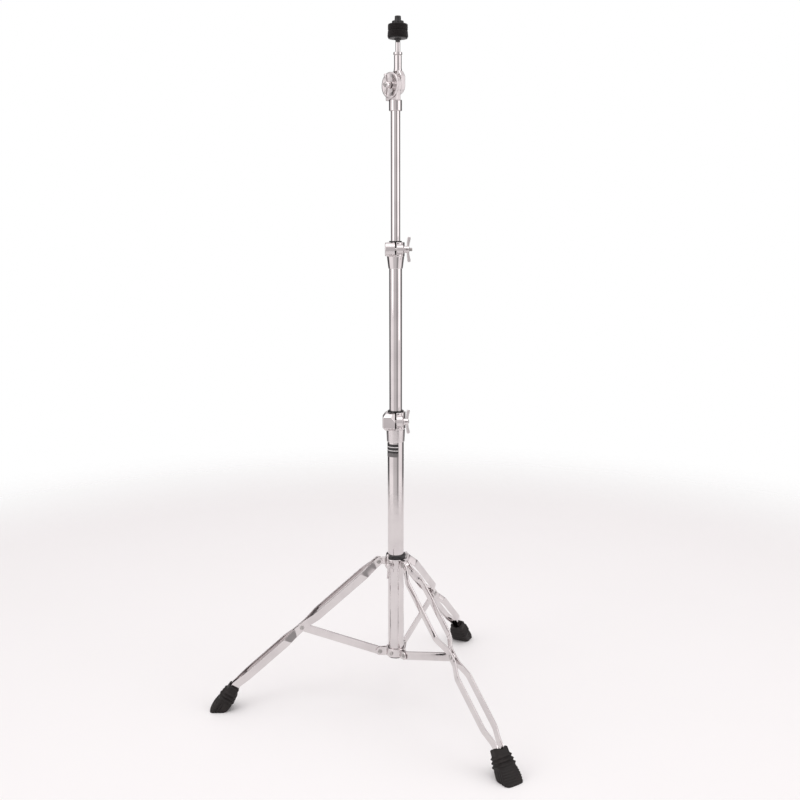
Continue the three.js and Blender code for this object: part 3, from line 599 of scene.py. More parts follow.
def makeBolt(node, place, headLow, seat, end):
    # a domed head with a driving slot, a plain shank and a rolled thread
    wide, radius, rim = bolts["headRadius"], bolts["radius"], bolts["rim"]
    height = seat - headLow
    turns = [radians(a) for a in range(80, -1, -10)]
    dome = [(wide * cos(a), seat - height * (rim + (1 - rim) * sin(a))) for a in turns]
    head = turn([(0, headLow), *dome, (wide, seat), (radius, seat), (0, seat)], place, 40)
    half = bolts["slotHalf"]
    slot = slab(-half, half, -wide, wide, headLow - 1, headLow + height * bolts["slotDepth"], place)
    threadLow = end - bolts["threadLength"]
    plain = [circle(radius * bolts["shank"], z, place, thread["around"]) for z in (seat - 0.4, threadLow)]
    shank = skin(plain + threadRows(radius, bolts["pitch"], threadLow, end, place))
    finishPiece(node, joined(cast([head], [slot], 0.25, 2), shank), 35)


wingNuts = dict(
    clamp=dict(hub=6, tip=4.6, height=10, span=21.5, thick=2.8, wing=5.2, bore=3.25),
    tilter=dict(hub=5.6, tip=4.4, height=9.5, span=18, thick=2.8, wing=4.5, bore=3.25),
    collar=dict(hub=5.4, tip=4.6, height=9, span=23, thick=3, wing=4, bore=0, hole=1.5),
)


def wingShells(size, place):
    # a round hub with two thumb wings; local z is the axis and local y runs along the wings
    height, span, low = size["height"], size["span"], size["wing"]
    hub = turn(rounded([
        (0, 0), (size["hub"], 0), (size["hub"], height * 0.3), (size["tip"], height - 0.6), (0, height),
    ], 1.1), place, 48)
    rise = height - low
    end = rise * 0.62  # radius of a wing's round end
    top = height + rise * 0.4
    outline = [
        (0, low), (span * 0.5, low), (span - end * 1.15, top - 2 * end),
        *arc(span - end, top - end, end, -80, 90, 12), (span * 0.45, top - rise * 0.45), (0, height - 1.2),
    ]
    shells = [hub]
    cuts = []
    for side in (1, -1):
        flat = placing((0, side, 0), (0, 0, 1), (side, 0, 0))
        half = size["thick"] / 2
        shells.append(prism(outline, -half, half, place @ flat, 1.0, 3))
        if "hole" in size:
            through = place @ flat @ Matrix.Translation((span - end, top - end, 0))
            cuts.append(rod(size["hole"], -5, 5, through, 24))
    if size["bore"]:
        cuts.append(rod(size["bore"], -2, 30, place))
    return shells, cuts


def makeWingNut(node, size, place):
    shells, cuts = wingShells(size, place)
    finishPiece(node, cast(shells, cuts, 0.34, 4), 60)


clampSizes = dict(
    base=dict(
        sleeve=24, lip=0.9, sleeveTop=2.8, gripWall=4.6, grip=30, earPast=5.6, earFront=12.5, corner=5,
        earHalf=14.6, boss=10.5, bossShort=4.8, recess=6, boltPast=0.5, tube="base_tube",
        endCut=5, sideCut=6.4, facet=14, facetDepth=9, facetFrom=0.55,
    ),
    upper=dict(
        sleeve=21, lip=0.9, sleeveTop=4.2, gripWall=4.2, grip=24, earPast=2.4, earFront=11, corner=3.6,
        earHalf=11.7, boss=8, bossShort=2, recess=8, boltPast=4.5, tube="middle_tube",
    ),
)
clampBolt = dict(headHeight=3.4, headDepth=2.4, clear=2.6)
slit = dict(half=1.2, floor=3.1, back=-1.7)
bushing = dict(slide=0.25, wall=1.1, below=30, lipWidth=1.4, lipHeight=1.7, edge=0.4)


def clampPlan(name):
    # what every piece of a clamp takes from its tube and its sizes
    size = clampSizes[name]
    tube = size["tube"]
    bore = radiusOf(tube) - tubes["walls"][tube]
    socket = radiusOf(tube) + gap
    outer = max(socket + size["sleeveTop"], bore + size["gripWall"])
    place = upright(jointAxis(name + "_wing_nut_turn"), mastAt + up * highOf(tube).z)
    boltY = -(bore + bolts["radius"] + clampBolt["clear"])
    boltZ = size["grip"] / 2
    return dict(
        size, name=name, bore=bore, socket=socket, outer=outer, place=place, boltY=boltY, boltZ=boltZ,
        front=boltY - size["earFront"], earReach=outer + size["earPast"], bossReach=outer - size["bossShort"],
        boltLine=alongX(place, 0, boltY, boltZ),
    )


def clampEar(plan):
    front, boltZ, half, corner = plan["front"], plan["boltZ"], plan["earHalf"], plan["corner"]
    reach, place, low, high = plan["earReach"], plan["place"], boltZ - half, boltZ + half
    if "facet" in plan:
        # a faceted block with big flats at its corners
        face = [
            (front + corner, low), (0, low), (0, high), (front + corner, high),
            (front, high - corner), (front, low + corner),
        ]
    else:
        # a round ear that runs back into the shell
        face = [(0, low), (0, high), *arc(front + half, boltZ, half, 90, 270, 28)]
    ear = prism(face, -reach, 2, alongX(place), corner * 0.4, 3)
    if "facet" in plan:
        # the ear's end is chamfered above and below, and a long facet runs down to the slit
        for way in (1, -1):
            edge = (-reach, 0, boltZ + way * (half - plan["sideCut"]))
            trimmed(ear, place, edge, (-plan["sideCut"], 0, way * plan["endCut"]))
        top = Vector((-reach * plan["facetFrom"], front, high))
        foot = Vector((-slit["half"], front, high - plan["facet"]))
        back = Vector((-slit["half"], front + plan["facetDepth"], high))
        slope = (foot - top).cross(back - top)
        trimmed(ear, place, top, slope if slope.z > 0 else -slope)
    return ear


def makeClampBody(plan):
    place, outer, bore, socket = plan["place"], plan["outer"], plan["bore"], plan["socket"]
    grip, sleeve, boss, reach = plan["grip"], plan["sleeve"], plan["boss"], plan["bossReach"]
    boltY, boltZ = plan["boltY"], plan["boltZ"]
    neck = outer - 0.9
    shell = turn(rounded([
        (0, -sleeve), (socket + plan["lip"], -sleeve), (neck, -2.2), (neck, -0.4), (outer, 0.6),
        (outer, grip), (0, grip),
    ], [0, 0.5, 0.6, 0.5, 0.8, 1.2, 0], 4), place, 96)
    bossBody = rod(boss, 0, reach, plan["boltLine"], 64, 1.6)
    web = slab(-1, reach - 2.4, boltY, 1, boltZ - boss, boltZ + boss, place)
    headHole = bolts["headRadius"] + gap
    headFloor = clampBolt["headDepth"] + clampBolt["headHeight"] + gap
    recess = turn([
        (0, -past), (plan["recess"] + 1.6, -past), (plan["recess"], 0), (headHole, clampBolt["headDepth"]),
        (headHole, headFloor), (0, headFloor),
    ], alongX(place, -plan["earReach"], boltY, boltZ), 48)
    cuts = [
        recess,
        rod(bore, -gap, grip + past, place, 96),
        rod(socket, -sleeve - past, gap, place, 96),
        slab(-slit["half"], slit["half"], plan["front"] - past, slit["back"], slit["floor"], grip + 4, place),
        rod(bolts["radius"] + gap, -plan["earReach"] - past, reach + past, plan["boltLine"]),
    ]
    finishPiece(plan["name"] + "_clamp", cast([shell, clampEar(plan), bossBody, web], cuts, 0.42, 4), 60)


def makeClampBushing(plan):
    outer = plan["bore"] - bushing["slide"]
    inner = outer - bushing["wall"]
    lip = plan["bore"] + bushing["lipWidth"]
    foot, seat = -bushing["below"], plan["grip"] + gap
    top = seat + bushing["lipHeight"]
    wall = [(inner, foot), (outer, foot), (outer, seat), (lip, seat), (lip, top), (inner, top)]
    made = turn(rounded(wall, bushing["edge"], 3, True), plan["place"], 96, True)
    finishPiece(plan["name"] + "_clamp_bushing", made)


def makeClampFasteners(plan):
    headLow = -plan["earReach"] + clampBolt["headDepth"]
    nutSeat = plan["bossReach"] + gap
    end = nutSeat + wingNuts["clamp"]["height"] + plan["boltPast"]
    makeBolt(plan["name"] + "_clamp_bolt", plan["boltLine"], headLow, headLow + clampBolt["headHeight"], end)
    nutPlace = alongX(plan["place"], nutSeat, plan["boltY"], plan["boltZ"])
    makeWingNut(plan["name"] + "_clamp_wing_nut", wingNuts["clamp"], nutPlace)


for clamp in clampSizes:
    layout = clampPlan(clamp)
    makeClampBody(layout)
    makeClampBushing(layout)
    makeClampFasteners(layout)
print("clamps made")


collar = dict(
    slide=0.25, wall=5.7, below=10.7, above=6.3, lugHalf=3.5, lugRadius=6.2, boss=6, bossOut=9.5, bossDrop=2,
    ring=3.1,
)
clevis = dict(wall=3.6, lug=2.5, lugRadius=7.5, screw=3.4, screwHeight=1.8, shank=2.2, screwHole=2.5, key=1.6)
rivets = dict(radius=2.4, head=4.2, height=1.6)
brace = dict(width=15, thickness=3.2, edge=0.9)
besideBrace = brace["thickness"] / 2 + gap  # from a leg's middle to what stands beside its brace


def legPlace(number):  # at a leg's pivot, x outwards and y along the pivot
    across = jointAxis(f"leg_{number}_fold")
    return placing(across.cross(up), across, up, jointPoint(f"leg_{number}_fold"))


def bracePlace(number):
    across = jointAxis(f"brace_{number}_fold")
    return placing(across.cross(up), across, up, jointPoint(f"brace_{number}_fold"))


def lugs(placeOf, radius, spans, bore, edge):
    # tongues from a collar's wall out to the three pivots, and the holes for their rivets
    tongues, holes = [], []
    for number in legNumbers:
        place = placeOf(number)
        root = bore + 1 - (place.translation - mastAt).xy.length
        outline = [(root, -radius), *arc(0, 0, radius, -90, 90, 24), (root, radius)]
        tongues += [prism(outline, low, high, onEdge(place), edge) for low, high in spans]
        holes.append(rod(rivets["radius"] + gap, -9, 9, alongY(place), 24))
    return tongues, holes


def makeLegCollar():
    pivotZ = jointPoint("leg_1_fold").z
    bore = tubeRadius + collar["slide"]
    outer = bore + collar["wall"]
    low, high = pivotZ - collar["below"], pivotZ + collar["above"]
    half = collar["lugHalf"]
    tongues, cuts = lugs(legPlace, collar["lugRadius"], [(-half, half)], bore, 0.7)
    adds = [rod(outer, low, high, mast, 96, 1.3), *tongues]
    screwPlace = upright(jointAxis("collar_screw_turn"), mastAt + up * (pivotZ - collar["bossDrop"]))
    boss, reach = collar["boss"], bore + collar["bossOut"]
    adds.append(rod(boss, 0, reach, alongX(screwPlace), 48, 1.2))
    cuts.append(rod(bolts["radius"] + gap, 0, reach + past, alongX(screwPlace)))
    cuts.append(rod(bore, low - past, high + past, mast, 96))
    finishPiece("leg_collar", cast(adds, cuts, 0.4, 4), 60)
    makeCollarRing(bore)
    makeCollarScrew(screwPlace, reach + gap)


def makeCollarRing(bore):
    low, high = spanOf("leg_collar_ring")
    made = ring(bore, bore + collar["ring"], low, high, [0.5, 0.5, 1.8, 0.7], 5, mast, 96)
    finishPiece("leg_collar_ring", made)


def makeCollarScrew(place, seat):
    shells, holes = wingShells(wingNuts["collar"], alongX(place, seat))
    shells.append(rod(bolts["radius"], tubeRadius + gap, seat + 1, alongX(place), 32, 0.5))
    finishPiece("leg_collar_wing_screw", cast(shells, holes, 0.34, 4), 60)


def makeLowerCollar():
    pivotZ = jointPoint("brace_1_fold").z
    bore = tubeRadius + gap
    outer = bore + clevis["wall"]
    low, high = pivotZ - clevis["lugRadius"], pivotZ + clevis["lugRadius"]
    sides = [(besideBrace, besideBrace + clevis["lug"]), (-besideBrace - clevis["lug"], -besideBrace)]
    tongues, cuts = lugs(bracePlace, clevis["lugRadius"], sides, bore, 0.6)
    adds = [rod(outer, low, high, mast, 96, 1.2), *tongues]
    screwPlace = alongX(upright(jointAxis("collar_screw_turn"), mastAt + up * pivotZ))
    cuts.append(rod(bore, low - past, high + past, mast, 96))
    cuts.append(rod(clevis["screwHole"], 0, outer + past, screwPlace, 24))
    finishPiece("lower_collar", cast(adds, cuts, 0.38, 4), 60)
    makeLowerScrew(screwPlace, outer + gap)


def makeLowerScrew(place, seat):  # a small cheese head with a six-sided socket
    tip, shank, wide = tubeRadius + gap, clevis["shank"], clevis["screw"]
    top = seat + clevis["screwHeight"]
    profile = [(0, tip), (shank, tip), (shank, seat), (wide, seat), (wide, top), (0, top)]
    head = turn(rounded(profile, [0, 0.3, 0, 0.2, 0.9, 0], 4), place, 32)
    socket = prism(arc(0, 0, clevis["key"], 30, 330, 5), seat + 0.7, seat + 4, place)
    finishPiece("lower_collar_screw", cast([head], [socket], 0.2, 2), 45)


makeLegCollar()
makeLowerCollar()
print("collars made")


leg = dict(
    slope=41.2, bootSlope=60, bendHeight=47, bendHalf=6, toBrace=185.9,
    width=14, thickness=2.4, edge=0.7, topFlat=10, pinch=13, spread=24,
    upper=15.6, lower=13.2, boot=7.2, insert=24,
)
pivotHeight = jointPoint("leg_1_fold").z
bendAt = (pivotHeight - leg["bendHeight"]) / sin(radians(leg["slope"]))
bend = radians(leg["bootSlope"] - leg["slope"])


def slopedPlace(number):  # x down the leg, y along its pivot
    return legPlace(number) @ Matrix.Rotation(radians(leg["slope"]), 4, "Y")


def legPoint(along):
    share = min(max((along - bendAt + leg["bendHalf"]) / (2 * leg["bendHalf"]), 0), 1)
    beyond = max(along - bendAt, 0)
    point = Vector((min(along, bendAt) + beyond * cos(bend), 0, -beyond * sin(bend)))
    return point, bend * share


def stripTable():  # the outer face's distance from the leg's middle, along the leg
    top = collar["lugHalf"] + gap + leg["thickness"]
    pinched = besideBrace + leg["thickness"]
    at, pinch, spread = leg["toBrace"], leg["pinch"], leg["spread"]
    return [
        (leg["topFlat"], top), (leg["topFlat"] + spread, leg["upper"]),
        (at - pinch - spread, leg["upper"]), (at - pinch, pinched),
        (at + pinch, pinched), (at + pinch + spread, leg["lower"]),
        (bendAt - spread - leg["bendHalf"], leg["lower"]), (bendAt - leg["bendHalf"], leg["boot"]),
    ]


def makeStrip(number, side):
    # a flat steel bar with soft edges, bowed out between its rivets
    table = stripTable()
    place = slopedPlace(number)
    half = leg["width"] / 2
    turns = [radians(a) for a in range(-80, 0, 8)]
    stations = [(half * sin(a), leg["width"] * cos(a)) for a in turns]
    stations += [(at, leg["width"]) for at in stepsAlong(table)]
    rows = []
    for along, width in stations:
        outer, = between(table, along, 5)
        inner = outer - leg["thickness"]
        point, angle = legPoint(along)
        across = Vector((sin(angle), 0, cos(angle)))
        w = max(width, 2.5) / 2
        section = rounded([(-w, outer), (-w, inner), (w, inner), (w, outer)], leg["edge"], 4, True)
        rows.append([place @ (point + across * x + Vector((0, side * y, 0))) for x, y in section])
    name = "left" if side > 0 else "right"
    finishPiece(f"leg_{number}_{name}_strip", skin(rows), 50)


def stepsAlong(table):
    # close together where the strip changes, and wide apart where it is straight
    end = bendAt + leg["insert"]
    steps, along = [], 0.0
    while along < end:
        steps.append(along)
        changing = between(table, along + 8) != between(table, along - 8) or along > bendAt - 12
        along += 2.0 if changing else 6.0
    return [*steps, end]


def domeProfile(seat, height, radius):
    steps = [radians(a) for a in range(0, 91, 15)]
    return [(radius * cos(a) ** 0.8 if a < 1.57 else 0, seat + height * sin(a)) for a in steps]


def makeRivet(node, place, half):
    top = domeProfile(half, rivets["height"], rivets["head"])
    foot = [(r, -z) for r, z in reversed(top)]
    radius = rivets["radius"]
    finishPiece(node, turn([*foot, (radius, -half), (radius, half), *top], alongY(place), 36), 50)


def makeHalfRivet(node, place, side):
    seat = besideBrace + leg["thickness"] + gap
    radius = rivets["radius"]
    dome = domeProfile(seat, rivets["height"], rivets["head"])
    profile = [(0, besideBrace), (radius, besideBrace), (radius, seat), *dome]
    outward = placing((0, 0, side), (1, 0, 0), (0, side, 0), (leg["toBrace"], 0, 0))
    finishPiece(node, turn(profile, place @ outward, 36), 50)


def makeLeg(number):
    place = slopedPlace(number)
    for side, name in ((1, "left"), (-1, "right")):
        makeStrip(number, side)
        makeHalfRivet(f"leg_{number}_{name}_brace_rivet", place, side)
    makeRivet(f"leg_{number}_pivot_rivet", place, collar["lugHalf"] + leg["thickness"] + 2 * gap)


def braceLine(number):
    outer = slopedPlace(number) @ Vector((leg["toBrace"], 0, 0))
    inner = jointPoint(f"brace_{number}_fold")
    along = outer - inner
    across = jointAxis(f"brace_{number}_fold")
    x = along.normalized()
    return placing(x, across, x.cross(across), inner), along.length


def makeBrace(number):
    place, length = braceLine(number)
    radius = brace["width"] / 2
    outline = [*arc(0, 0, radius, 90, 270, 28), *arc(length, 0, radius, -90, 90, 28)]
    half = brace["thickness"] / 2
    finishPiece(f"brace_{number}", prism(outline, -half, half, onEdge(place), brace["edge"], 4), 60)
    makeRivet(f"brace_{number}_rivet", place, half + clevis["lug"] + 2 * gap)


boot = dict(
    top=3, neckDip=3.4, dipWidth=0.42, pocket=8.0, pocketDepth=18, pocketCorner=6, corner=4.6,
    around=144, rows=110, soleBetween=(30.0, 75.0),
    ribs=(14, 20.5, 27), ribHeight=2.7, ribHalf=2.8, ridgeFrom=34, ridgePitch=4.2, ridgeHeight=0.95,
    seamAt=62, seamStep=14, seamWidth=2.8, seamDepth=1.4, soleEdge=1.2,
    # distance down the boot, then toe side, heel side and half width
    profile=[
        (0, 9.4, 9.2, 12.4), (1.6, 10.4, 9.8, 13.4), (11, 11.2, 9.8, 13.8), (34, 15.4, 11.8, 16.8),
        (42, 16.8, 10.6, 18.2), (49, 17.8, 7.6, 18.8), (60, 17.6, 1.0, 18.4), (68, 16.0, 3.0, 17.0),
    ],
)


def bootRadius(angle, depth):
    # the distance from the boot's own axis at one angle round it; 0 is the toe and 180 the heel
    toe, heel, half = between(boot["profile"], depth, 1.2)
    c, s = cos(angle), sin(angle)
    reach = toe if c > 0 else max(heel, 1.2)
    radius = (abs(c / reach) ** boot["corner"] + abs(s / half) ** boot["corner"]) ** (-1 / boot["corner"])
    for middle in boot["ribs"]:
        lift = max(1 - abs(depth - middle) / boot["ribHalf"], 0)
        radius += boot["ribHeight"] * lift ** 0.85
    toeLine = cos(radians(boot["seamAt"]))
    toeShare = ramp(c, toeLine - 0.05, toeLine + 0.08)
    inBlock = ramp(depth, boot["ridgeFrom"] - 2, boot["ridgeFrom"] + 2)
    wave = 0.5 - 0.5 * cos(2 * pi * (depth - boot["ridgeFrom"]) / boot["ridgePitch"])
    radius += toeShare * inBlock * boot["ridgeHeight"] * (wave ** 0.6)
    for seamAt in (boot["seamAt"], boot["seamAt"] + boot["seamStep"]):
        away = (math.degrees(abs(angle)) - seamAt) / boot["seamWidth"]
        radius -= math.exp(-away ** 2) * inBlock * boot["seamDepth"]
    return radius


def bootPlace(number):
    # z down the boot from its neck, x towards the toe
    down = Vector((cos(bend), 0, -sin(bend)))
    toeward = Vector((sin(bend), 0, cos(bend)))
    start = legPoint(bendAt)[0] + down * boot["top"]
    return slopedPlace(number) @ placing(toeward, down.cross(toeward), down, start)


def makeBoot(number):
    place = bootPlace(number)
    around = boot["around"]
    angles = [2 * pi * i / around for i in range(around)]
    angles = [a if a <= pi else a - 2 * pi for a in angles]

    def at(angle, depth, radius):
        return place @ Vector((radius * cos(angle), radius * sin(angle), depth))

    def floorDepth(angle):
        low, high = boot["soleBetween"]
        for _ in range(30):
            middle = (low + high) / 2
            if at(angle, middle, bootRadius(angle, middle)).z > 0:
                low = middle
            else:
                high = middle
        return low

    feet = [floorDepth(a) for a in angles]
    dips = [boot["neckDip"] * math.exp(-(sin(a) / boot["dipWidth"]) ** 2) for a in angles]
    rows = []
    # the inside of the neck, from its floor up to the rim
    for depth in (boot["pocketDepth"], 8.0, 1.2):
        rows.append([at(a, depth + dip, pocketRadius(a)) for a, dip in zip(angles, dips)])
    rim = [(0.35, 0.25), (0.0, 0.5), (0.35, 0.8)]  # depth, and share of the wall
    for depth, share in rim:
        rows.append([
            at(a, depth + dip, pocketRadius(a) + (bootRadius(a, 1.6) - pocketRadius(a)) * share)
            for a, dip in zip(angles, dips)
        ])
    for k in range(1, boot["rows"] + 1):
        t = k / boot["rows"]
        row = []
        for a, dip, foot in zip(angles, dips, feet):
            depth = (1.2 + dip) * (1 - t) + (foot - boot["soleEdge"]) * t
            row.append(at(a, depth, bootRadius(a, depth)))
        rows.append(row)
    # a rounded edge, then the flat sole
    rows.append([flatten(at(a, d - 0.35, bootRadius(a, d) - 0.35), 0.35) for a, d in zip(angles, feet)])
    sole = [flatten(at(a, d, bootRadius(a, d) - boot["soleEdge"]), 0) for a, d in zip(angles, feet)]
    centre = sum(sole, Vector()) / around
    rows += [[centre + (point - centre) * share for point in sole] for share in (1, 0.6, 0.24)]
    rows.append([centre])
    finishPiece(f"boot_{number}", skin(rows), 50)


def pocketRadius(angle):
    corner = boot["pocketCorner"]
    c, s = abs(cos(angle) / boot["pocket"]), abs(sin(angle) / boot["pocket"])
    return (c ** corner + s ** corner) ** (-1 / corner)


def flatten(point, height):
    return Vector((point.x, point.y, height))


for number in legNumbers:
    makeLeg(number)
    makeBrace(number)
    makeBoot(number)
print("legs, braces and boots made")


seatSizes = dict(
    rod=4, pitch=1.25, hole=4.3, ring=7.3, cup=16, hub=5.4, felt=16.5, feltEdge=3.2, feltRim=0.7, fuzz=0.16,
    brim=1.4, flange=9.8, flangeHeight=4.4, sleeve=5, flutes=18, fluteDepth=0.35, nutAround=144,
)
tilter = dict(
    radius=17, half=14, thick=9.7, edge=1.1, footCorner=1.2, shoulder=16,
    plate=21, plateThick=2.6, dish=0.8, headHeight=2.6, stickOut=2.5,
    sleeve=10.9, sleeveLow=-41, sleeveTop=-23, sleeveDrop=1.6, post=6.35, postTop=49, setBack=5.3, blind=16,
    flare=8.4, flareFoot=4.8, flareLow=18, flareHeight=11, waist=0.9,
)
hingePlace = upright(jointAxis("tilter_tilt"), jointPoint("tilter_tilt"))


def makeTilterBase():
    # a round cheek above a straight web, and a sleeve that grips the tube
    t, half, corner = tilter, tilter["half"], tilter["footCorner"]
    drop = t["sleeveDrop"] - t["sleeveTop"]
    meet = math.degrees(math.asin(half / t["radius"]))
    cheek = [
        (-half + corner, -drop), (half - corner, -drop), (half, -drop + corner),
        *arc(0, 0, t["radius"], meet - 90, 270 - meet, 48), (-half, -drop + corner),
    ]
    base = prism(cheek, 0, t["thick"], alongX(hingePlace, gap), t["edge"], 4)
    low = t["sleeveLow"]
    sleeve = rod(t["sleeve"], low, t["sleeveTop"], hingePlace, 72, 1.0)
    tubeTop = highOf("upper_tube").z - jointPoint("tilter_tilt").z + gap
    bore = rod(radiusOf("upper_tube") + gap, low - past, tubeTop, hingePlace, 72)
    finishPiece("tilter_base", cast([base, sleeve], [bore, pinHole()], 0.38, 4), 60)


def pinHole():
    return rod(bolts["radius"] + gap, -15, 15, alongX(hingePlace))


def makeTilterHead():
    # a half-round block that narrows into a waisted post, beside the hinge's middle
    t, half, shoulder, top = tilter, tilter["half"], tilter["shoulder"], tilter["postTop"]
    low, flareTop = t["flareLow"], t["flareLow"] + t["flareHeight"]
    neck = (low + flareTop) / 2
    face = [
        (half, shoulder - 2), (half - 0.6, shoulder), (t["flare"], neck), (-t["flare"], neck),
        (-half + 0.6, shoulder), (-half, shoulder - 2), *arc(0, 0, half, 180, 360, 40),
    ]
    head = prism(face, 0, t["thick"], alongX(hingePlace, -gap - t["thick"]), t["edge"], 4)
    stemPlace = hingePlace @ Matrix.Translation((-t["setBack"], 0, 0))
    stem = turn(rounded([
        (0, low), (t["flareFoot"], low), (t["post"] + t["waist"], neck), (t["post"], flareTop),
        (t["post"], top), (0, top),
    ], [0, 0.5, 3, 4, 0.9, 0]), stemPlace, 72)
    trim = slab(-gap, 30, -30, 30, 0, t["radius"] + 1, hingePlace)
    blind = rod(seatSizes["hole"], top - t["blind"], top + past, stemPlace, 36)
    finishPiece("tilter_head", cast([head, stem], [trim, blind, pinHole()], 0.38, 4), 60)


def makeTilterFasteners():
    seat = tilter["thick"] + 2 * gap
    thick, radius, hole = tilter["plateThick"], tilter["plate"], bolts["radius"] + gap
    dished = thick - tilter["dish"]
    disc = rounded([
        (hole, 0), (radius, 0), (radius, thick), (radius * 0.86, thick), (radius * 0.6, dished),
        (hole, dished),
    ], [0.2, 0.8, 0.9, 3, 3, 0.3], 5, True)
    finishPiece("tilter_plate", turn(disc, alongX(hingePlace, seat), 96, True))
    nutSeat = seat + thick + gap
    end = nutSeat + wingNuts["tilter"]["height"] + tilter["stickOut"]
    makeBolt("tilter_bolt", alongX(hingePlace), -seat - tilter["headHeight"], -seat, end)
    makeWingNut("tilter_wing_nut", wingNuts["tilter"], alongX(hingePlace, nutSeat))


makeTilterBase()
makeTilterHead()
makeTilterFasteners()
print("tilter made")


seatAt = midOf("seat_rod")
seatPlace = upright(Vector((1, 0, 0)), Vector((seatAt.x, seatAt.y, 0)))


def makeFelt(node, rim):
    low, high = spanOf(node)
    hole, outer, edge = seatSizes["hole"], seatSizes["felt"], seatSizes["feltEdge"]
    profile = [
        (hole, low), (outer + rim, low), (outer + rim * 0.6, (low + high) / 2), (outer, high), (hole, high),
    ]
    size = [0.6, edge * 0.5, 4, edge if rim == 0 else 1.6, 0.8]
    bm = turn(rounded(profile, size, 8, True), seatPlace, 128, True)
    coarse = [e for e in bm.edges if e.calc_length() > 1.6]
    bmesh.ops.subdivide_edges(bm, edges=coarse, cuts=3, use_grid_fill=True)
    bmesh.ops.recalc_face_normals(bm, faces=bm.faces)
    bm.normal_update()
    moves = []
    for vert in bm.verts:
        push = noise.fractal(vert.co * 0.55, 0.8, 2.1, 4) * seatSizes["fuzz"]
        moves.append((vert, vert.normal * push))
    for vert, push in moves:
        vert.co += push
    piece = finishPiece(node, bm, 70)


def makeRodAndRing():
    s = seatSizes
    made = ring(s["hole"], s["ring"], *spanOf("post_ring"), [0.3, 1.1, 1.1, 0.4], 5, seatPlace, 64)
    finishPiece("post_ring", made)
    low, high = spanOf("seat_rod")
    threadLow = lowOf("upper_felt").z
    plain = [circle(s["rod"], z, seatPlace, thread["around"]) for z in (low, threadLow - 1)]
    rows = plain + threadRows(s["rod"], s["pitch"], threadLow, high, seatPlace)
    finishPiece("seat_rod", skin(rows), 35, "chrome")


def makeCup():
    low, high = spanOf("cup_washer")
    hole, hub, wide = seatSizes["hole"], seatSizes["hub"], seatSizes["cup"]
    brim = high - seatSizes["brim"]
    cup = rounded([
        (hole, low), (hub, low), (hub + 0.3, brim - 0.2), (wide, brim), (wide, high), (hole, high),
    ], [0.3, 0.9, 1.2, 0.6, 0.6, 0.3], 5, True)
    finishPiece("cup_washer", turn(cup, seatPlace, 96, True), slot="nylon")


def makeSleeveNut():
    # a fluted flange below a smooth sleeve, blind over the rod's end
    low, high = spanOf("top_sleeve_nut")
    flangeTop = low + seatSizes["flangeHeight"]
    bore, flange, sleeve = seatSizes["hole"], seatSizes["flange"], seatSizes["sleeve"]
    depth = highOf("seat_rod").z + gap
    profile = [(0, depth), (bore, depth), *rounded([
        (bore, low), (flange, low), (flange, flangeTop), (sleeve + 0.5, flangeTop + 0.2),
        (sleeve, high), (0, high),
    ], [0.3, 0.7, 1.0, 0.7, 0.9, 0], 6)]
    fluteDepth, flutes = seatSizes["fluteDepth"], seatSizes["flutes"]

    def fluted(radius, angle):
        grip = ramp(radius, flange - 1.4, flange - 0.2)
        return radius - grip * fluteDepth * (0.5 - 0.5 * cos(angle * flutes))

    nut = turn(profile, seatPlace, seatSizes["nutAround"], shape=fluted)
    finishPiece("top_sleeve_nut", nut, 45)


makeRodAndRing()
makeCup()
makeFelt("lower_felt", seatSizes["feltRim"])
makeFelt("upper_felt", 0)
makeSleeveNut()
print("cymbal seat made")


studio = dict(
    cameraAt=(-124.4, -1755.6, 888), pitch=-10.2, heading=-4.3, focal=45.71,
    floorRadius=2.4, floorFade=(1.3, 2.2), floor=(0.90, 0.895, 0.895, 1),
    backdrop=1.0, warm=(1.0, 0.955, 0.962, 1),
    # the room's brightness round the stand, from behind it past its left side to the camera and on
    room=[
        (0.0, 0.9), (0.035, 0.10), (0.20, 0.10), (0.235, 1.15), (0.375, 1.15), (0.42, 0.74), (0.53, 0.70),
        (0.56, 0.36), (0.60, 0.38), (0.63, 1.15), (0.765, 1.15), (0.80, 0.20), (0.965, 0.14), (1.0, 0.9),
    ],
    ceiling=0.92,
)


def makeCamera():
    data = bpy.data.cameras.new("camera")
    data.sensor_width = 36
    data.lens = studio["focal"]
    data.clip_end = 50
    camera = newObject("camera", data)
    camera.location = (mastAt + Vector(studio["cameraAt"])) / perMetre
    camera.rotation_euler = (radians(90 + studio["pitch"]), 0, radians(studio["heading"]))
    bpy.context.scene.camera = camera


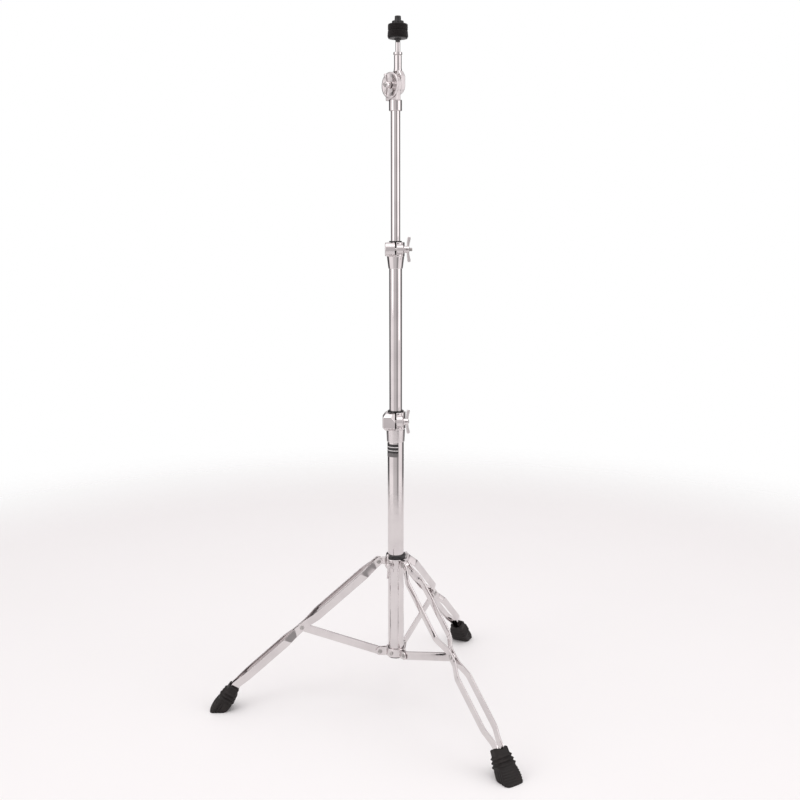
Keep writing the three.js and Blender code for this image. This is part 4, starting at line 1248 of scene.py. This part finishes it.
def makeWorld():
    world = bpy.data.worlds.new("studio")
    world.use_nodes = True
    world.node_tree.nodes.clear()
    bpy.context.scene.world = world
    shade = Shade(world.node_tree)
    look = shade.node("TexCoord", output="Generated")
    split = shade.tree.nodes.new("ShaderNodeSeparateXYZ")
    shade.tree.links.new(look.socket, split.inputs[0])
    x, y, z = (Shade(shade.tree, socket) for socket in split.outputs)
    front = Vector(studio["cameraAt"]).xy.normalized()
    ahead = x * front.x + y * front.y
    aside = x * -front.y + y * front.x
    turns = shade.maths("ARCTAN2", aside, ahead) / (2 * pi) + 0.5
    bands = turns.node("ValToRGB", {"stops": studio["room"]}, {0: turns})
    high = z.step(0.35, 0.75)
    level = high.blend(bands, (studio["ceiling"],) * 3 + (1,))
    tint = {"data_type": "RGBA", "blend_type": "MULTIPLY"}
    tinted = shade.node("Mix", tint, {0: 1.0, 6: level, 7: studio["warm"]}, 2)
    room = shade.node("Background", None, {"Color": tinted, "Strength": 1.0})
    plain = shade.node("Background", None, {"Color": (1, 1, 1, 1), "Strength": studio["backdrop"]})
    seen = shade.node("LightPath", output="Is Camera Ray")
    both = shade.node("MixShader", None, {0: seen, 1: room, 2: plain})
    shade.node("OutputWorld", None, {"Surface": both})


def floorFinish(shade):
    place = shade.node("TexCoord", output="Object")
    level = shade.node("VectorMath", {"operation": "SUBTRACT"}, {0: place, 1: mastAt / perMetre})
    away = shade.node("VectorMath", {"operation": "LENGTH"}, {0: level}, "Value")
    worn = tuple(c * 0.985 for c in studio["floor"][:3]) + (1,)
    return {
        "Base Color": shade.noise(3.0, 3.0).blend(studio["floor"], worn),
        "Roughness": 0.7,
        "Specular IOR Level": 0.1,
        "Alpha": 1 - away.step(*studio["floorFade"]),
    }


def makeFloor():
    rows = [[mastAt.copy()]]
    for radius in (300, 900, 1500, 2000, studio["floorRadius"] * perMetre):
        rows.append([mastAt + direction(360 * i / 96) * radius for i in range(96)])
    bm = skin(rows, capped=False)
    bmesh.ops.scale(bm, vec=(1 / perMetre,) * 3, verts=bm.verts)
    for face in bm.faces:
        if face.normal.z < 0:
            face.normal_flip()
    floor = newObject("studio_floor", newMesh("studio_floor", bm))
    floor.data.materials.append(newFinish("pale_floor", floorFinish))


softboxes = dict(
    overhead=dict(at=(0, -300, 2900), aim=(0, 0, 400), size=(2600, 2200), power=22),
    left=dict(at=(-2300, -1500, 1700), aim=(0, 0, 600), size=(1100, 2200), power=7),
    right=dict(at=(2400, -1200, 1500), aim=(0, 0, 600), size=(1000, 2200), power=6),
)


def makeLights():
    for name, box in softboxes.items():
        data = bpy.data.lights.new(name, "AREA")
        data.shape = "RECTANGLE"
        data.size, data.size_y = (side / perMetre for side in box["size"])
        data.energy = box["power"]
        light = newObject(name, data)
        light.location = (mastAt + Vector(box["at"])) / perMetre
        aim = (Vector(box["aim"]) - Vector(box["at"])).normalized()
        light.rotation_euler = aim.to_track_quat("-Z", "Y").to_euler()


makeCamera()
makeWorld()
makeFloor()
makeLights()
scene = bpy.context.scene
scene.view_settings.view_transform = "Standard"
scene.view_settings.look = "None"
print("studio made")
